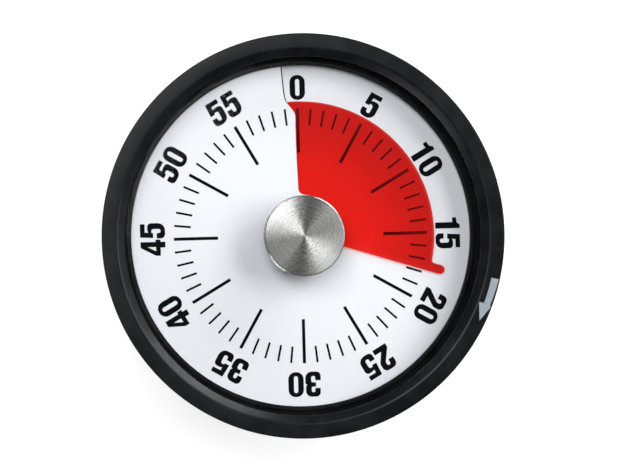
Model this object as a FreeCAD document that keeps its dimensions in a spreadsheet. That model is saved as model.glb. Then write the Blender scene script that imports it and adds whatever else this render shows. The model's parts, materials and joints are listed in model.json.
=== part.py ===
import FreeCAD, Part

import math
import os
import re

import Sketcher

Vector = FreeCAD.Vector

# A mechanical sixty-minute kitchen timer that lies on its back. +Z points out of the dial, the origin
# is the centre of the face it rests on, and the 0-minute mark is at +Y. Lengths are millimetres.
# The overall height is the sum of the stack from the rear pad to the front of the ring.
DIMENSIONS = {
    # turning ring
    "ring_diameter": 80.0,
    "ring_height": 17.5,
    "ring_skirt_wall": 2.4,
    "ring_edge": 0.5,
    "ring_taper": 1.0,
    "ring_taper_height": 11.5,
    "ring_lip_wall": 4.5,
    "ring_chamfer_width": 1.5,
    "ring_chamfer_depth": 1.1,
    "ring_running_gap": 0.8,
    # lens, cap and hub
    "lens_depth": 2.4,
    "lens_thickness": 1.2,
    "lens_fit": 0.1,
    "lens_air": 1.65,
    "knob_diameter": 16.0,
    "knob_height": 2.4,
    "knob_edge": 0.3,
    "knob_socket": 1.0,
    "hub_diameter": 10.0,
    "hub_flange": 2.0,
    "hub_flange_thickness": 1.0,
    "hub_spigot": 0.9,
    "hub_web": 0.8,
    "hub_rise": 0.2,
    "socket_fit": 0.05,
    "hub_key_width": 1.2,
    "hub_key_height": 1.0,
    # dial
    "dial_pitch": 0.9,
    "dial_floor": 1.5,
    "dial_drop": 0.6,
    "dial_frame": 2.8,
    "dial_rim_wall": 1.9,
    "rest_radius": 0.5,
    "rest_inset": 1.0,
    "rest_count": 12.0,
    "sheet_rim_gap": 0.3,
    "sheet_thickness": 0.25,
    "sheet_bore_gap": 0.6,
    "glue_line": 0.05,
    "clamp_thickness": 0.8,
    "clamp_gap": 0.1,
    "slit_angle": 1.2,
    "slit_jog": 3.6,
    "slit_jog_radius": 26.2,
    "tongue_sweep": 26.0,
    "tongue_width": 1.6,
    # translucent time disc
    "disc_thickness": 0.15,
    "disc_gap": 0.1,
    "disc_fit": 0.15,
    "disc_setting": 105.0,
    "pointer_margin": 4.3,
    "pointer_length": 2.9,
    "pointer_sweep": 4.4,
    # rear housing
    "pad_thickness": 1.0,
    "pad_margin": 1.8,
    "housing_wall": 2.0,
    "housing_floor": 1.8,
    "housing_bevel": 2.0,
    "magnet_diameter": 20.0,
    "magnet_thickness": 2.7,
    "magnet_fit": 0.1,
    "magnet_wall": 2.4,
    "magnet_roof": 1.2,
    "boss_radius": 3.0,
    # bell and hammer
    "bell_post_height": 1.6,
    "bell_post_radius": 2.2,
    "bell_bite": 0.8,
    "bell_radius": 22.0,
    "bell_wall": 0.8,
    "bell_bend": 1.6,
    "bell_clearance": 0.8,
    "cam_clearance": 0.8,
    "cam_thickness": 1.0,
    "cam_radius": 3.6,
    "cam_notch": 1.0,
    "hammer_pivot": 13.0,
    "hammer_reach": 10.0,
    "hammer_drop": 3.0,
    "hammer_width": 1.6,
    "hammer_head_radius": 1.5,
    "hammer_tail": 7.6,
    "hammer_tail_offset": 2.2,
    "hammer_head_height": 0.7,
    "hammer_post_radius": 0.7,
    "hammer_spring_strip": 0.15,
    "hammer_spring_gap": 0.2,
    "hammer_spring_width": 0.5,
    "hammer_spring_turns": 3.0,
    "hammer_spring_air": 0.15,
    # movement frame
    "frame_gap": 1.0,
    "plate_thickness": 1.0,
    "plate_margin": 1.5,
    "plate_top_gap": 0.4,
    "pillar_radius": 1.8,
    "pillar_inset": 5.3,
    "pillar_angle": 65.0,
    "spacer_radius": 2.0,
    "spacer_circle": 24.0,
    "spacer_angle": 30.0,
    # screws
    "screw_radius": 0.9,
    "screw_fit": 0.1,
    "screw_head_radius": 1.7,
    "screw_head_height": 0.8,
    "screw_grip": 3.0,
    "screw_recess": 0.1,
    # going train
    "wheel_thickness": 0.6,
    "wheel_gap": 1.4,
    "great_thickness": 0.8,
    "window_count": 5.0,
    "great_module": 0.4,
    "great_teeth": 72.0,
    "second_pinion_teeth": 10.0,
    "second_module": 0.35,
    "second_teeth": 63.0,
    "third_pinion_teeth": 9.0,
    "third_module": 0.3,
    "third_teeth": 60.0,
    "escape_pinion_teeth": 8.0,
    "second_direction": 200.0,
    "third_direction": 272.0,
    "escape_direction": 331.0,
    "anchor_direction": 15.0,
    "pinion_overlap": 0.5,
    "pivot_radius": 0.6,
    "arbor_radius": 0.8,
    "pivot_fit": 0.06,
    "staking_fit": 0.02,
    # main arbor, ratchet and mainspring
    "main_arbor_radius": 1.5,
    "main_pivot_radius": 1.2,
    "spring_core_radius": 2.4,
    "ratchet_teeth": 12.0,
    "ratchet_radius": 4.8,
    "ratchet_tooth": 0.9,
    "ratchet_gap": 0.1,
    "click_circle": 9.0,
    "click_angle": 26.0,
    "click_nose": 0.3,
    "click_half_width": 0.8,
    "rivet_radius": 0.6,
    "spring_strip": 0.3,
    "spring_coil_gap": 0.7,
    "spring_turns": 9.0,
    "spring_core_gap": 0.2,
    "spring_end_gap": 0.6,
    "spring_direction": 20.0,
    "spring_post_radius": 0.9,
    # escapement
    "escape_teeth": 20.0,
    "escape_radius": 5.6,
    "escape_tooth": 1.2,
    "anchor_distance": 7.9,
    "pallet_pin_radius": 0.3,
    "pallet_pin_gap": 0.35,
    "pallet_half_angle": 28.0,
    "anchor_lift": 0.3,
    "anchor_hub_half": 1.2,
    "anchor_arm_half": 0.6,
    "balance_length": 11.0,
    "balance_width": 2.0,
}

doc = FreeCAD.newDocument("kitchen_timer")
dim = doc.addObject("Spreadsheet::Sheet", "Dim")
for row, (alias, size) in enumerate(DIMENSIONS.items(), start=1):
    dim.set(f"A{row}", alias)
    dim.set(f"B{row}", str(size))
    dim.setAlias(f"B{row}", alias)
doc.recompute()

nodes = []


def named(text):
    """Expression with every dimension's name tied to the spreadsheet."""
    return re.sub(r"[a-z_]+", lambda word: f"Dim.{word[0]}" if word[0] in DIMENSIONS else word[0], text)


def number(text):
    """Present value of an expression."""
    return float(dim.evalExpression(named(text)))


def bind(item, **sizes):
    """Tie properties of an object to expressions."""
    for name, text in sizes.items():
        item.setExpression(name, named(text))
    return item


def place(item, x="0", y="0", z="0", turn="0"):
    """Tie an object's Placement to expressions: a position, and a turn about Z in degrees."""
    item.Placement = FreeCAD.Placement(Vector(0, 0, 0), FreeCAD.Rotation(Vector(0, 0, 1), 1.0))
    for axis, text in zip("xyz", (x, y, z)):
        item.setExpression(f"Placement.Base.{axis}", named(text))
    item.setExpression("Placement.Rotation.Angle", named(turn))
    return item


def node(item, label, **where):
    """Give a finished sub-part its name and its place."""
    item.Label = label
    nodes.append(item)
    return place(item, **where) if where else item


def new_body(label):
    """Empty PartDesign body."""
    return doc.addObject("PartDesign::Body", f"{label}_body")


def flat_sketch(body, role, height="0"):
    """Sketch on one of the body's own origin planes, moved along its normal."""
    plane = next(item for item in body.Origin.OriginFeatures if item.Role == role)
    sketch = body.newObject("Sketcher::SketchObject", "sketch")
    sketch.AttachmentSupport = [(plane, "")]
    sketch.MapMode = "FlatFace"
    sketch.setExpression("AttachmentOffset.Base.z", named(height))
    return sketch


def fix_point(sketch, edge, end, x, y):
    """Hold one end or centre in a sketch at two expressions."""
    for kind, text in (("DistanceX", x), ("DistanceY", y)):
        held = sketch.addConstraint(Sketcher.Constraint(kind, -1, 1, edge, end, number(text)))
        sketch.setExpression(f"Constraints[{held}]", named(text))


def add_polygon(sketch, corners):
    """Closed outline through corners given as pairs of expressions."""
    first = sketch.GeometryCount
    points = [Vector(number(x), number(y), 0) for x, y in corners]
    for start, end in zip(points, points[1:] + points[:1]):
        sketch.addGeometry(Part.LineSegment(start, end))
    for index, (x, y) in enumerate(corners):
        following = first + (index + 1) % len(corners)
        sketch.addConstraint(Sketcher.Constraint("Coincident", first + index, 2, following, 1))
        fix_point(sketch, first + index, 1, x, y)
    return sketch


def add_circle(sketch, radius, x="0", y="0"):
    """Circle with its centre and radius held by expressions."""
    centre = Vector(number(x), number(y), 0)
    edge = sketch.addGeometry(Part.Circle(centre, Vector(0, 0, 1), number(radius)))
    fix_point(sketch, edge, 3, x, y)
    held = sketch.addConstraint(Sketcher.Constraint("Radius", edge, number(radius)))
    sketch.setExpression(f"Constraints[{held}]", named(radius))
    return sketch


def feature(body, kind, sketch, **sizes):
    """PartDesign feature on a sketch; the tip is checked to have gained or lost material."""
    before = 0 if body.Shape.isNull() else body.Shape.Volume
    made = body.newObject(f"PartDesign::{kind}", kind.lower())
    made.Profile = sketch
    if kind in ("Revolution", "Groove"):
        made.ReferenceAxis = (sketch, ["V_Axis"])
        made.Angle = 360
    if kind == "Pocket":
        made.Reversed = True
    bind(made, **sizes)
    doc.recompute()
    change = body.Shape.Volume - before
    if change * (-1 if kind in ("Pocket", "Groove") else 1) <= 0:
        raise RuntimeError(f"{body.Name}: {kind} changed the volume by {change}")
    return made


def repeat(body, item, sketch, count):
    """Polar pattern of a feature about the body's Z axis."""
    pattern = body.newObject("PartDesign::PolarPattern", "pattern")
    pattern.Originals = [item]
    pattern.Axis = (sketch, ["N_Axis"])
    pattern.Angle = 360
    bind(pattern, Occurrences=count)
    body.Tip = pattern
    return pattern


def lathe(label, profile):
    """Body turned about Z from a closed profile of (radius, height) expressions."""
    body = new_body(label)
    feature(body, "Revolution", add_polygon(flat_sketch(body, "XZ_Plane"), profile))
    return body


def ring(label, inner, outer, height):
    """Plain turned ring standing on its local XY plane."""
    return lathe(label, [(inner, "0"), (outer, "0"), (outer, height), (inner, height)])


def rod(name, radius, height, **where):
    """Part cylinder with its size and place tied to expressions."""
    cylinder = doc.addObject("Part::Cylinder", name)
    return place(bind(cylinder, Radius=radius, Height=height), **where)


def group(label, pieces):
    """Union of pieces; pieces that do not touch stay separate solids of one node."""
    fuse = doc.addObject("Part::MultiFuse", f"{label}_group")
    fuse.Shapes = pieces
    fuse.Refine = True
    return fuse


def polar(radius, angle):
    """Pair of expressions for a point at a radius and an angle from +X."""
    return f"(({radius}) * cos({angle}))", f"(({radius}) * sin({angle}))"


def drill(body, radius, depth, spots, height="0"):
    """Round holes that run up from a height in the body."""
    sketch = flat_sketch(body, "XY_Plane", height)
    for x, y in spots:
        add_circle(sketch, radius, x, y)
    return feature(body, "Pocket", sketch, Length=depth)


# Heights of the stack, from the table to the front of the ring.
PAD_TOP = "pad_thickness"
MAGNET_POCKET = "(magnet_thickness + magnet_fit)"
BELL_POST_BASE = f"({PAD_TOP} + {MAGNET_POCKET} + magnet_roof)"
BELL_BASE = f"({BELL_POST_BASE} + bell_post_height)"
CAM_BASE = f"({BELL_BASE} + bell_wall + screw_head_height + cam_clearance)"
BACK_PLATE = f"({CAM_BASE} + cam_thickness + frame_gap)"
WORKS_BASE = f"({BACK_PLATE} + plate_thickness)"
LEVEL_STEP = "(wheel_thickness + wheel_gap)"
ESCAPE_LEVEL = f"({WORKS_BASE} + wheel_gap)"
THIRD_LEVEL = f"({ESCAPE_LEVEL} + {LEVEL_STEP})"
SECOND_LEVEL = f"({THIRD_LEVEL} + {LEVEL_STEP})"
GREAT_LEVEL = f"({SECOND_LEVEL} + {LEVEL_STEP})"
RATCHET_LEVEL = f"({GREAT_LEVEL} + great_thickness + ratchet_gap)"
FRONT_PLATE = f"({GREAT_LEVEL} + {LEVEL_STEP})"
FRAME_TOP = f"({FRONT_PLATE} + plate_thickness)"
DIAL_BASE = f"({FRAME_TOP} + screw_head_height + plate_top_gap)"
DIAL_FLOOR_TOP = f"({DIAL_BASE} + dial_floor)"
SHEET_BASE = f"({DIAL_FLOOR_TOP} + dial_drop)"
CLAMP_BASE = f"({SHEET_BASE} + dial_pitch + sheet_thickness + clamp_gap)"
LENS_BASE = f"({CLAMP_BASE} + clamp_thickness + lens_air)"
LENS_TOP = f"({LENS_BASE} + lens_thickness)"
FRONT = f"({LENS_TOP} + lens_depth)"
RING_BASE = f"({FRONT} - ring_height)"
HUB_BASE = f"({DIAL_FLOOR_TOP} + hub_rise)"

# Radii that several pieces share.
RING_R = "(ring_diameter / 2)"
SKIRT_R = f"({RING_R} - ring_skirt_wall)"
RECESS_R = f"({RING_R} - ring_lip_wall)"
HOUSING_R = f"({SKIRT_R} - ring_running_gap)"
BORE_R = f"({HOUSING_R} - housing_wall)"
DIAL_R = f"({HOUSING_R} - dial_frame)"
POINTER_R = f"({DIAL_R} - pointer_margin)"
DISC_R = f"({POINTER_R} - pointer_length)"
HUB_R = "(hub_diameter / 2)"
KEY_R = f"({HUB_R} + hub_key_height)"
SHEET_BORE_R = f"({KEY_R} + sheet_bore_gap)"

# Arbor centres of the going train, each one a pitch distance from the last.


def mesh_distance(module, wheel_teeth, pinion_teeth):
    """Centre distance of a wheel and the pinion it drives."""
    return f"({module} * ({wheel_teeth} + {pinion_teeth}) / 2)"


def step_from(start, distance, direction):
    """Point a distance away from another in a direction."""
    across, along = polar(distance, direction)
    return f"({start[0]} + {across})", f"({start[1]} + {along})"


GREAT_TO_SECOND = mesh_distance("great_module", "great_teeth", "second_pinion_teeth")
SECOND_TO_THIRD = mesh_distance("second_module", "second_teeth", "third_pinion_teeth")
THIRD_TO_ESCAPE = mesh_distance("third_module", "third_teeth", "escape_pinion_teeth")
SECOND_AT = polar(GREAT_TO_SECOND, "second_direction")
THIRD_AT = step_from(SECOND_AT, SECOND_TO_THIRD, "third_direction")
ESCAPE_AT = step_from(THIRD_AT, THIRD_TO_ESCAPE, "escape_direction")
ANCHOR_AT = step_from(ESCAPE_AT, "anchor_distance", "anchor_direction")
PILLAR_CIRCLE = f"({BORE_R} - pillar_inset)"
PILLARS = [polar(PILLAR_CIRCLE, f"(pillar_angle + {turn})") for turn in (0, 120, 240)]
SPACERS = [polar("spacer_circle", f"(spacer_angle + {turn})") for turn in (0, 120, 240)]
SCREW_HOLE_R = "(screw_radius + screw_fit)"
HEAD_HOLE_R = "(screw_head_radius + screw_fit)"


def screw_set(label, spots, seat, length, head_up=True):
    """Screws whose heads sit on a height; the shanks run down from it, or up when the head is below."""
    pieces = []
    head_z = seat if head_up else f"({seat} - screw_head_height)"
    shank_z = f"({seat} - {length})" if head_up else seat
    for x, y in spots:
        pieces.append(rod(f"{label}_head", "screw_head_radius", "screw_head_height", x=x, y=y, z=head_z))
        pieces.append(rod(f"{label}_shank", "screw_radius", length, x=x, y=y, z=shank_z))
    return node(group(label, pieces), label)


def bored_posts(label, spots, radius, base, height, bore, depth):
    """Round posts with a blind or through bore at each end."""
    pieces = []
    for x, y in spots:
        post = rod(f"{label}_post", radius, height, x=x, y=y, z=base)
        lower = rod(f"{label}_lower", bore, depth, x=x, y=y, z=base)
        upper = rod(f"{label}_upper", bore, depth, x=x, y=y, z=f"({base} + {height} - {depth})")
        cut = doc.addObject("Part::Cut", f"{label}_bored")
        cut.Base = post
        cut.Tool = group(f"{label}_bores", [lower, upper])
        pieces.append(cut)
    return node(group(label, pieces), label)


# ---- turning group -------------------------------------------------------------------------------


def bezel_ring():
    """Outer ring: flat front face, chamfered mouth, lip over the lens, tapering skirt."""
    lip = "(ring_height - lens_depth)"
    body = lathe("bezel_ring", [
        (SKIRT_R, "0"),
        (f"({RING_R} - ring_taper - ring_edge)", "0"),
        (f"({RING_R} - ring_taper)", "ring_edge"),
        (RING_R, "ring_taper_height"),
        (RING_R, "(ring_height - ring_edge)"),
        (f"({RING_R} - ring_edge)", "ring_height"),
        (f"({RECESS_R} + ring_chamfer_width)", "ring_height"),
        (RECESS_R, "(ring_height - ring_chamfer_depth)"),
        (RECESS_R, lip),
        (SKIRT_R, lip),
    ])
    node(body, "bezel_ring", z=RING_BASE)


def lens():
    """Clear window that seats under the ring's lip and on the hub's flange."""
    body = ring("lens", f"({HUB_R} + lens_fit)", f"({SKIRT_R} - lens_fit)", "lens_thickness")
    node(body, "lens", z=LENS_BASE)


def knob_cap():
    """Turned steel cap with a blind socket for the hub's spigot."""
    socket = f"({HUB_R} + socket_fit)"
    knob = "(knob_diameter / 2)"
    body = lathe("knob_cap", [
        (socket, "0"),
        (knob, "0"),
        (knob, "(knob_height - knob_edge)"),
        (f"({knob} - knob_edge)", "knob_height"),
        ("0", "knob_height"),
        ("0", "knob_socket"),
        (socket, "knob_socket"),
    ])
    node(body, "knob_cap", z=LENS_TOP)


HUB_TOP = f"({LENS_TOP} + hub_spigot - {HUB_BASE})"
HUB_SCREW_SEAT = f"({HUB_TOP} - screw_head_height - screw_fit)"
HUB_BORE_DEPTH = f"({HUB_SCREW_SEAT} - hub_web)"
HUB_FLANGE_TOP = f"({LENS_BASE} - {HUB_BASE})"


def hub():
    """Hub that joins lens, cap, disc and arbor; a key on it drives the time disc."""
    bore = "(main_arbor_radius + staking_fit)"
    flange_base = f"({HUB_FLANGE_TOP} - hub_flange_thickness)"
    flange = f"({HUB_R} + hub_flange)"
    body = lathe("hub", [
        (bore, "0"),
        (HUB_R, "0"),
        (HUB_R, flange_base),
        (flange, flange_base),
        (flange, HUB_FLANGE_TOP),
        (HUB_R, HUB_FLANGE_TOP),
        (HUB_R, HUB_TOP),
        (HEAD_HOLE_R, HUB_TOP),
        (HEAD_HOLE_R, HUB_SCREW_SEAT),
        (SCREW_HOLE_R, HUB_SCREW_SEAT),
        (SCREW_HOLE_R, HUB_BORE_DEPTH),
        (bore, HUB_BORE_DEPTH),
    ])
    key_root = f"({HUB_R} - hub_key_height)"
    key = add_polygon(flat_sketch(body, "XY_Plane"), [
        (key_root, "(-hub_key_width / 2)"),
        (KEY_R, "(-hub_key_width / 2)"),
        (KEY_R, "(hub_key_width / 2)"),
        (key_root, "(hub_key_width / 2)"),
    ])
    feature(body, "Pad", key, Length=flange_base)
    node(body, "hub", z=HUB_BASE)


def hub_fixing():
    """Screw that clamps the hub to the arbor."""
    length = "(hub_web + screw_fit + screw_grip)"
    screw_set("hub_screw", [("0", "0")], f"({HUB_BASE} + {HUB_SCREW_SEAT})", length)


def main_arbor():
    """Arbor from the bell cam up into the hub, thick where the mainspring hooks on."""
    foot = f"({CAM_BASE} - screw_fit)"
    top = f"({HUB_BASE} + {HUB_BORE_DEPTH} - screw_fit - {foot})"
    tapped = f"({top} - screw_grip - screw_fit)"
    core_base = f"({WORKS_BASE} + spring_core_gap - {foot})"
    core_top = f"({SECOND_LEVEL} - spring_core_gap - {foot})"
    body = lathe("main_arbor", [
        ("0", "0"),
        ("main_pivot_radius", "0"),
        ("main_pivot_radius", core_base),
        ("spring_core_radius", core_base),
        ("spring_core_radius", core_top),
        ("main_arbor_radius", core_top),
        ("main_arbor_radius", top),
        (SCREW_HOLE_R, top),
        (SCREW_HOLE_R, tapped),
        ("0", tapped),
    ])
    node(body, "main_arbor", z=foot)


def bell_cam():
    """Cam on the arbor's lower end, notched for the hammer's tail at zero."""
    body = ring("bell_cam", "(main_pivot_radius + staking_fit)", "cam_radius", "cam_thickness")
    notch = add_polygon(flat_sketch(body, "XY_Plane"), [
        ("(cam_radius - cam_notch)", "(-cam_notch)"),
        ("(cam_radius + cam_notch)", "(-cam_notch)"),
        ("(cam_radius + cam_notch)", "cam_notch"),
        ("(cam_radius - cam_notch)", "cam_notch"),
    ])
    feature(body, "Pocket", notch, Length="cam_thickness")
    node(body, "bell_cam", z=CAM_BASE, turn="disc_setting")


# ---- dial and time disc --------------------------------------------------------------------------


def helical_sector(inner, outer, start, end, thickness):
    """Sheet that rises clockwise by the dial's pitch per turn, between two clock angles."""
    pitch = number("dial_pitch")
    rise = pitch * (end - start) / 360
    edges = [Part.makeLongHelix(pitch, rise, radius, 0, True).Edges[0] for radius in (inner, outer)]
    sheet = Part.makeRuledSurface(*edges).extrude(Vector(0, 0, thickness))
    sheet.rotate(Vector(0, 0, 0), Vector(0, 0, 1), 90 - start)
    sheet.translate(Vector(0, 0, pitch * start / 360))
    return sheet


def shaped(label, shape, z):
    """Part feature that holds a shape worked out in code, placed at a height."""
    item = doc.addObject("Part::Feature", label)
    item.Shape = shape
    return place(item, z=z)


def spiral_strip(core, strip, gap, turns, width):
    """Flat strip coiled outwards from a core radius in half-circles, standing on its edge."""
    step = (strip + gap) / 2

    def half_turn(index, offset):
        radius = core + strip / 2 + index * step + offset
        centre = Vector(step * (index % 2), 0, 0)
        side = 1 if index % 2 == 0 else -1
        start, middle = Vector(side * radius, 0, 0), Vector(0, side * radius, 0)
        return Part.Arc(centre + start, centre + middle, centre - start).toShape()

    count = int(2 * turns)
    outer = [half_turn(index, strip / 2) for index in range(count)]
    inner = [half_turn(index, -strip / 2) for index in range(count)]
    ends = [
        Part.makeLine(inner[half].Vertexes[end].Point, outer[half].Vertexes[end].Point)
        for half, end in ((0, 0), (-1, 1))
    ]
    outline = Part.Wire(Part.__sortEdges__(outer + inner + ends))
    return Part.Face(outline).extrude(Vector(0, 0, width))


RIM_BORE_R = f"({HOUSING_R} - dial_rim_wall)"


def dial_sheet():
    """Printed dial: one helical turn, slit at zero, with a jog near its rim and a tongue at its bore."""
    bore, rim = number(SHEET_BORE_R), number(f"{RIM_BORE_R} - sheet_rim_gap")
    jog_radius, tongue = number("slit_jog_radius"), bore + number("tongue_width")
    slit, jog = number("slit_angle"), number("slit_jog")
    sectors = [
        (bore, rim, -slit, 360 - slit - jog),
        (jog_radius, rim, -slit - jog, -slit),
        (bore, jog_radius, 360 - slit - jog, 360 - slit),
        (bore, tongue, 360 - slit, 360 - slit + number("tongue_sweep")),
    ]
    first, *others = [helical_sector(*sector, number("sheet_thickness")) for sector in sectors]
    node(shaped("dial_sheet", first.fuse(others), SHEET_BASE), "dial_sheet")


def time_disc():
    """Translucent disc of one helical turn, with a pointer on its leading edge and a keyed bore."""
    thickness, gap, setting = (number(name) for name in ("disc_thickness", "disc_gap", "disc_setting"))
    bore, rim, tip = number(f"{HUB_R} + disc_fit"), number(DISC_R), number(POINTER_R)
    finger = setting - number("pointer_sweep")
    web = helical_sector(bore, rim, setting - 360, finger, thickness)
    pointer = helical_sector(bore, tip, finger, setting, thickness)
    key_width = number("hub_key_width + 2 * disc_fit")
    pitch = number("dial_pitch")
    key_depth = number(f"{KEY_R} + disc_fit")
    keyway = Part.makeBox(key_depth, key_width, 2 * pitch, Vector(0, -key_width / 2, -pitch))
    shape = web.fuse(pointer).cut(keyway)
    travel = number("sheet_thickness") + thickness + 2 * gap
    height = f"({SHEET_BASE} + {pitch * (1 - setting / 360) - thickness - gap + travel * setting / 360})"
    node(shaped("time_disc", shape, height), "time_disc")


def dial_plate():
    """Dish that carries the dial."""
    bore = "(main_arbor_radius + frame_gap)"
    top = f"({CLAMP_BASE} - {DIAL_BASE})"
    body = lathe("dial_plate", [
        (bore, "0"),
        (HOUSING_R, "0"),
        (HOUSING_R, top),
        (RIM_BORE_R, top),
        (RIM_BORE_R, "dial_floor"),
        (bore, "dial_floor"),
    ])
    drill(body, SCREW_HOLE_R, "dial_floor", SPACERS)
    drill(body, HEAD_HOLE_R, "dial_floor", SPACERS, "(dial_floor - screw_head_height - screw_recess)")
    node(body, "dial_plate", z=DIAL_BASE)


def dial_rests():
    """Pegs of rising height round the dish's floor, which hold the sheet's edge on its helix."""
    circle = f"({RIM_BORE_R} - rest_inset)"
    pegs = []
    for index in range(int(number("rest_count"))):
        clock = f"(360 / rest_count * ({index} + 0.5))"
        x, y = polar(circle, f"(90 - {clock})")
        height = f"(dial_drop + dial_pitch * {clock} / 360 - glue_line)"
        pegs.append(rod("dial_rest", "rest_radius", height, x=x, y=y, z=DIAL_FLOOR_TOP))
    node(group("dial_rests", pegs), "dial_rests")


# ---- housing -------------------------------------------------------------------------------------

POCKET_R = "(magnet_diameter / 2 + magnet_fit)"
BOSS_TOP = f"({BACK_PLATE} - {PAD_TOP})"
SCREW_SEAT = "(screw_head_height + screw_recess)"


def rear_housing():
    """Cup with a magnet pocket under a central boss and three screw bosses for the movement."""
    boss = f"({POCKET_R} + magnet_wall)"
    roof = f"({MAGNET_POCKET} + magnet_roof)"
    pilot = f"({roof} - bell_bite - screw_recess)"
    body = lathe("rear_housing", [
        ("0", MAGNET_POCKET),
        (POCKET_R, MAGNET_POCKET),
        (POCKET_R, "0"),
        (f"({HOUSING_R} - housing_bevel)", "0"),
        (HOUSING_R, "housing_bevel"),
        (HOUSING_R, f"({DIAL_BASE} - {PAD_TOP})"),
        (BORE_R, f"({DIAL_BASE} - {PAD_TOP})"),
        (BORE_R, "housing_floor"),
        (boss, "housing_floor"),
        (boss, roof),
        (SCREW_HOLE_R, roof),
        (SCREW_HOLE_R, pilot),
        ("0", pilot),
    ])
    bosses = flat_sketch(body, "XY_Plane", "(housing_floor / 2)")
    for x, y in PILLARS:
        add_circle(bosses, "boss_radius", x, y)
    feature(body, "Pad", bosses, Length=f"({BOSS_TOP} - housing_floor / 2)")
    drill(body, HEAD_HOLE_R, SCREW_SEAT, PILLARS)
    drill(body, SCREW_HOLE_R, BOSS_TOP, PILLARS)
    node(body, "rear_housing", z=PAD_TOP)


def housing_trim():
    """Rear pad, magnet, and the ring that frames the dial."""
    pad_radius = f"({HOUSING_R} - housing_bevel - pad_margin)"
    node(rod("rear_pad", pad_radius, "pad_thickness"), "rear_pad")
    node(rod("rear_magnet", "(magnet_diameter / 2)", "magnet_thickness", z=PAD_TOP), "rear_magnet")
    clamp = ring("dial_clamp_ring", DIAL_R, HOUSING_R, "clamp_thickness")
    node(clamp, "dial_clamp_ring", z=CLAMP_BASE)


# ---- bell and hammer -----------------------------------------------------------------------------

BELL_RIM = f"({BACK_PLATE} - bell_clearance - {BELL_BASE})"
BEVEL_SHARE = math.tan(math.radians(22.5))


def bell_group():
    """Bell dish on a post, held by one screw."""
    corner = "(bell_radius - bell_bend)"
    body = lathe("bell", [
        (SCREW_HOLE_R, "0"),
        (corner, "0"),
        ("bell_radius", "bell_bend"),
        ("bell_radius", BELL_RIM),
        ("(bell_radius - bell_wall)", BELL_RIM),
        ("(bell_radius - bell_wall)", f"(bell_bend + {BEVEL_SHARE} * bell_wall)"),
        (f"({corner} - {BEVEL_SHARE} * bell_wall)", "bell_wall"),
        (SCREW_HOLE_R, "bell_wall"),
    ])
    node(body, "bell", z=BELL_BASE)
    post = ring("bell_post", SCREW_HOLE_R, "bell_post_radius", "bell_post_height")
    node(post, "bell_post", z=BELL_POST_BASE)
    length = "(bell_wall + bell_post_height + bell_bite)"
    screw_set("bell_screw", [("0", "0")], f"({BELL_BASE} + bell_wall)", length)


def hammer_group():
    """Hammer lever on its post, with the head under its end and a light return spring."""
    pivot_y = "(-hammer_pivot)"
    half = "(hammer_width / 2)"
    body = new_body("hammer_arm")
    arm = add_polygon(flat_sketch(body, "XY_Plane"), [
        ("hammer_reach", f"(-hammer_drop + {half})"),
        (half, "hammer_width"),
        (f"({half} - hammer_tail_offset)", "hammer_tail"),
        (f"(-{half} - hammer_tail_offset)", "hammer_tail"),
        ("(-hammer_width)", "(-hammer_width)"),
        ("hammer_reach", f"(-hammer_drop - {half})"),
    ])
    add_circle(arm, "(hammer_post_radius + pivot_fit)")
    feature(body, "Pad", arm, Length="cam_thickness")
    node(body, "hammer_arm", y=pivot_y, z=CAM_BASE)
    head = rod("hammer_head", "hammer_head_radius", "hammer_head_height", x="hammer_reach",
               y=f"({pivot_y} - hammer_drop)", z=f"({CAM_BASE} - hammer_head_height)")
    node(head, "hammer_head")
    post_base = f"({CAM_BASE} - frame_gap / 2)"
    post = rod("hammer_post", "hammer_post_radius", f"({BACK_PLATE} - {post_base})", y=pivot_y, z=post_base)
    node(post, "hammer_post")
    core, strip, gap, width, turns = (number(name) for name in (
        "hammer_post_radius + hammer_spring_gap", "hammer_spring_strip", "hammer_spring_gap",
        "hammer_spring_width", "hammer_spring_turns"))
    spring = shaped("hammer_spring", spiral_strip(core, strip, gap, turns, width),
                    f"({CAM_BASE} + cam_thickness + hammer_spring_air)")
    spring.setExpression("Placement.Base.y", named(pivot_y))
    node(spring, "hammer_spring")


# ---- movement frame ------------------------------------------------------------------------------

PLATE_R = f"({BORE_R} - plate_margin)"
PIVOT_HOLE_R = "(pivot_radius + pivot_fit)"


def movement_plate(label, base, arbor_hole, spots):
    """Round plate with pivot holes for every arbor; spots are further holes for screws."""
    body = new_body(label)
    outline = add_circle(flat_sketch(body, "XY_Plane"), PLATE_R)
    add_circle(outline, arbor_hole)
    for x, y in (SECOND_AT, THIRD_AT, ESCAPE_AT, ANCHOR_AT):
        add_circle(outline, PIVOT_HOLE_R, x, y)
    for x, y in spots:
        add_circle(outline, SCREW_HOLE_R, x, y)
    feature(body, "Pad", outline, Length="plate_thickness")
    node(body, label, z=base)


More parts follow.
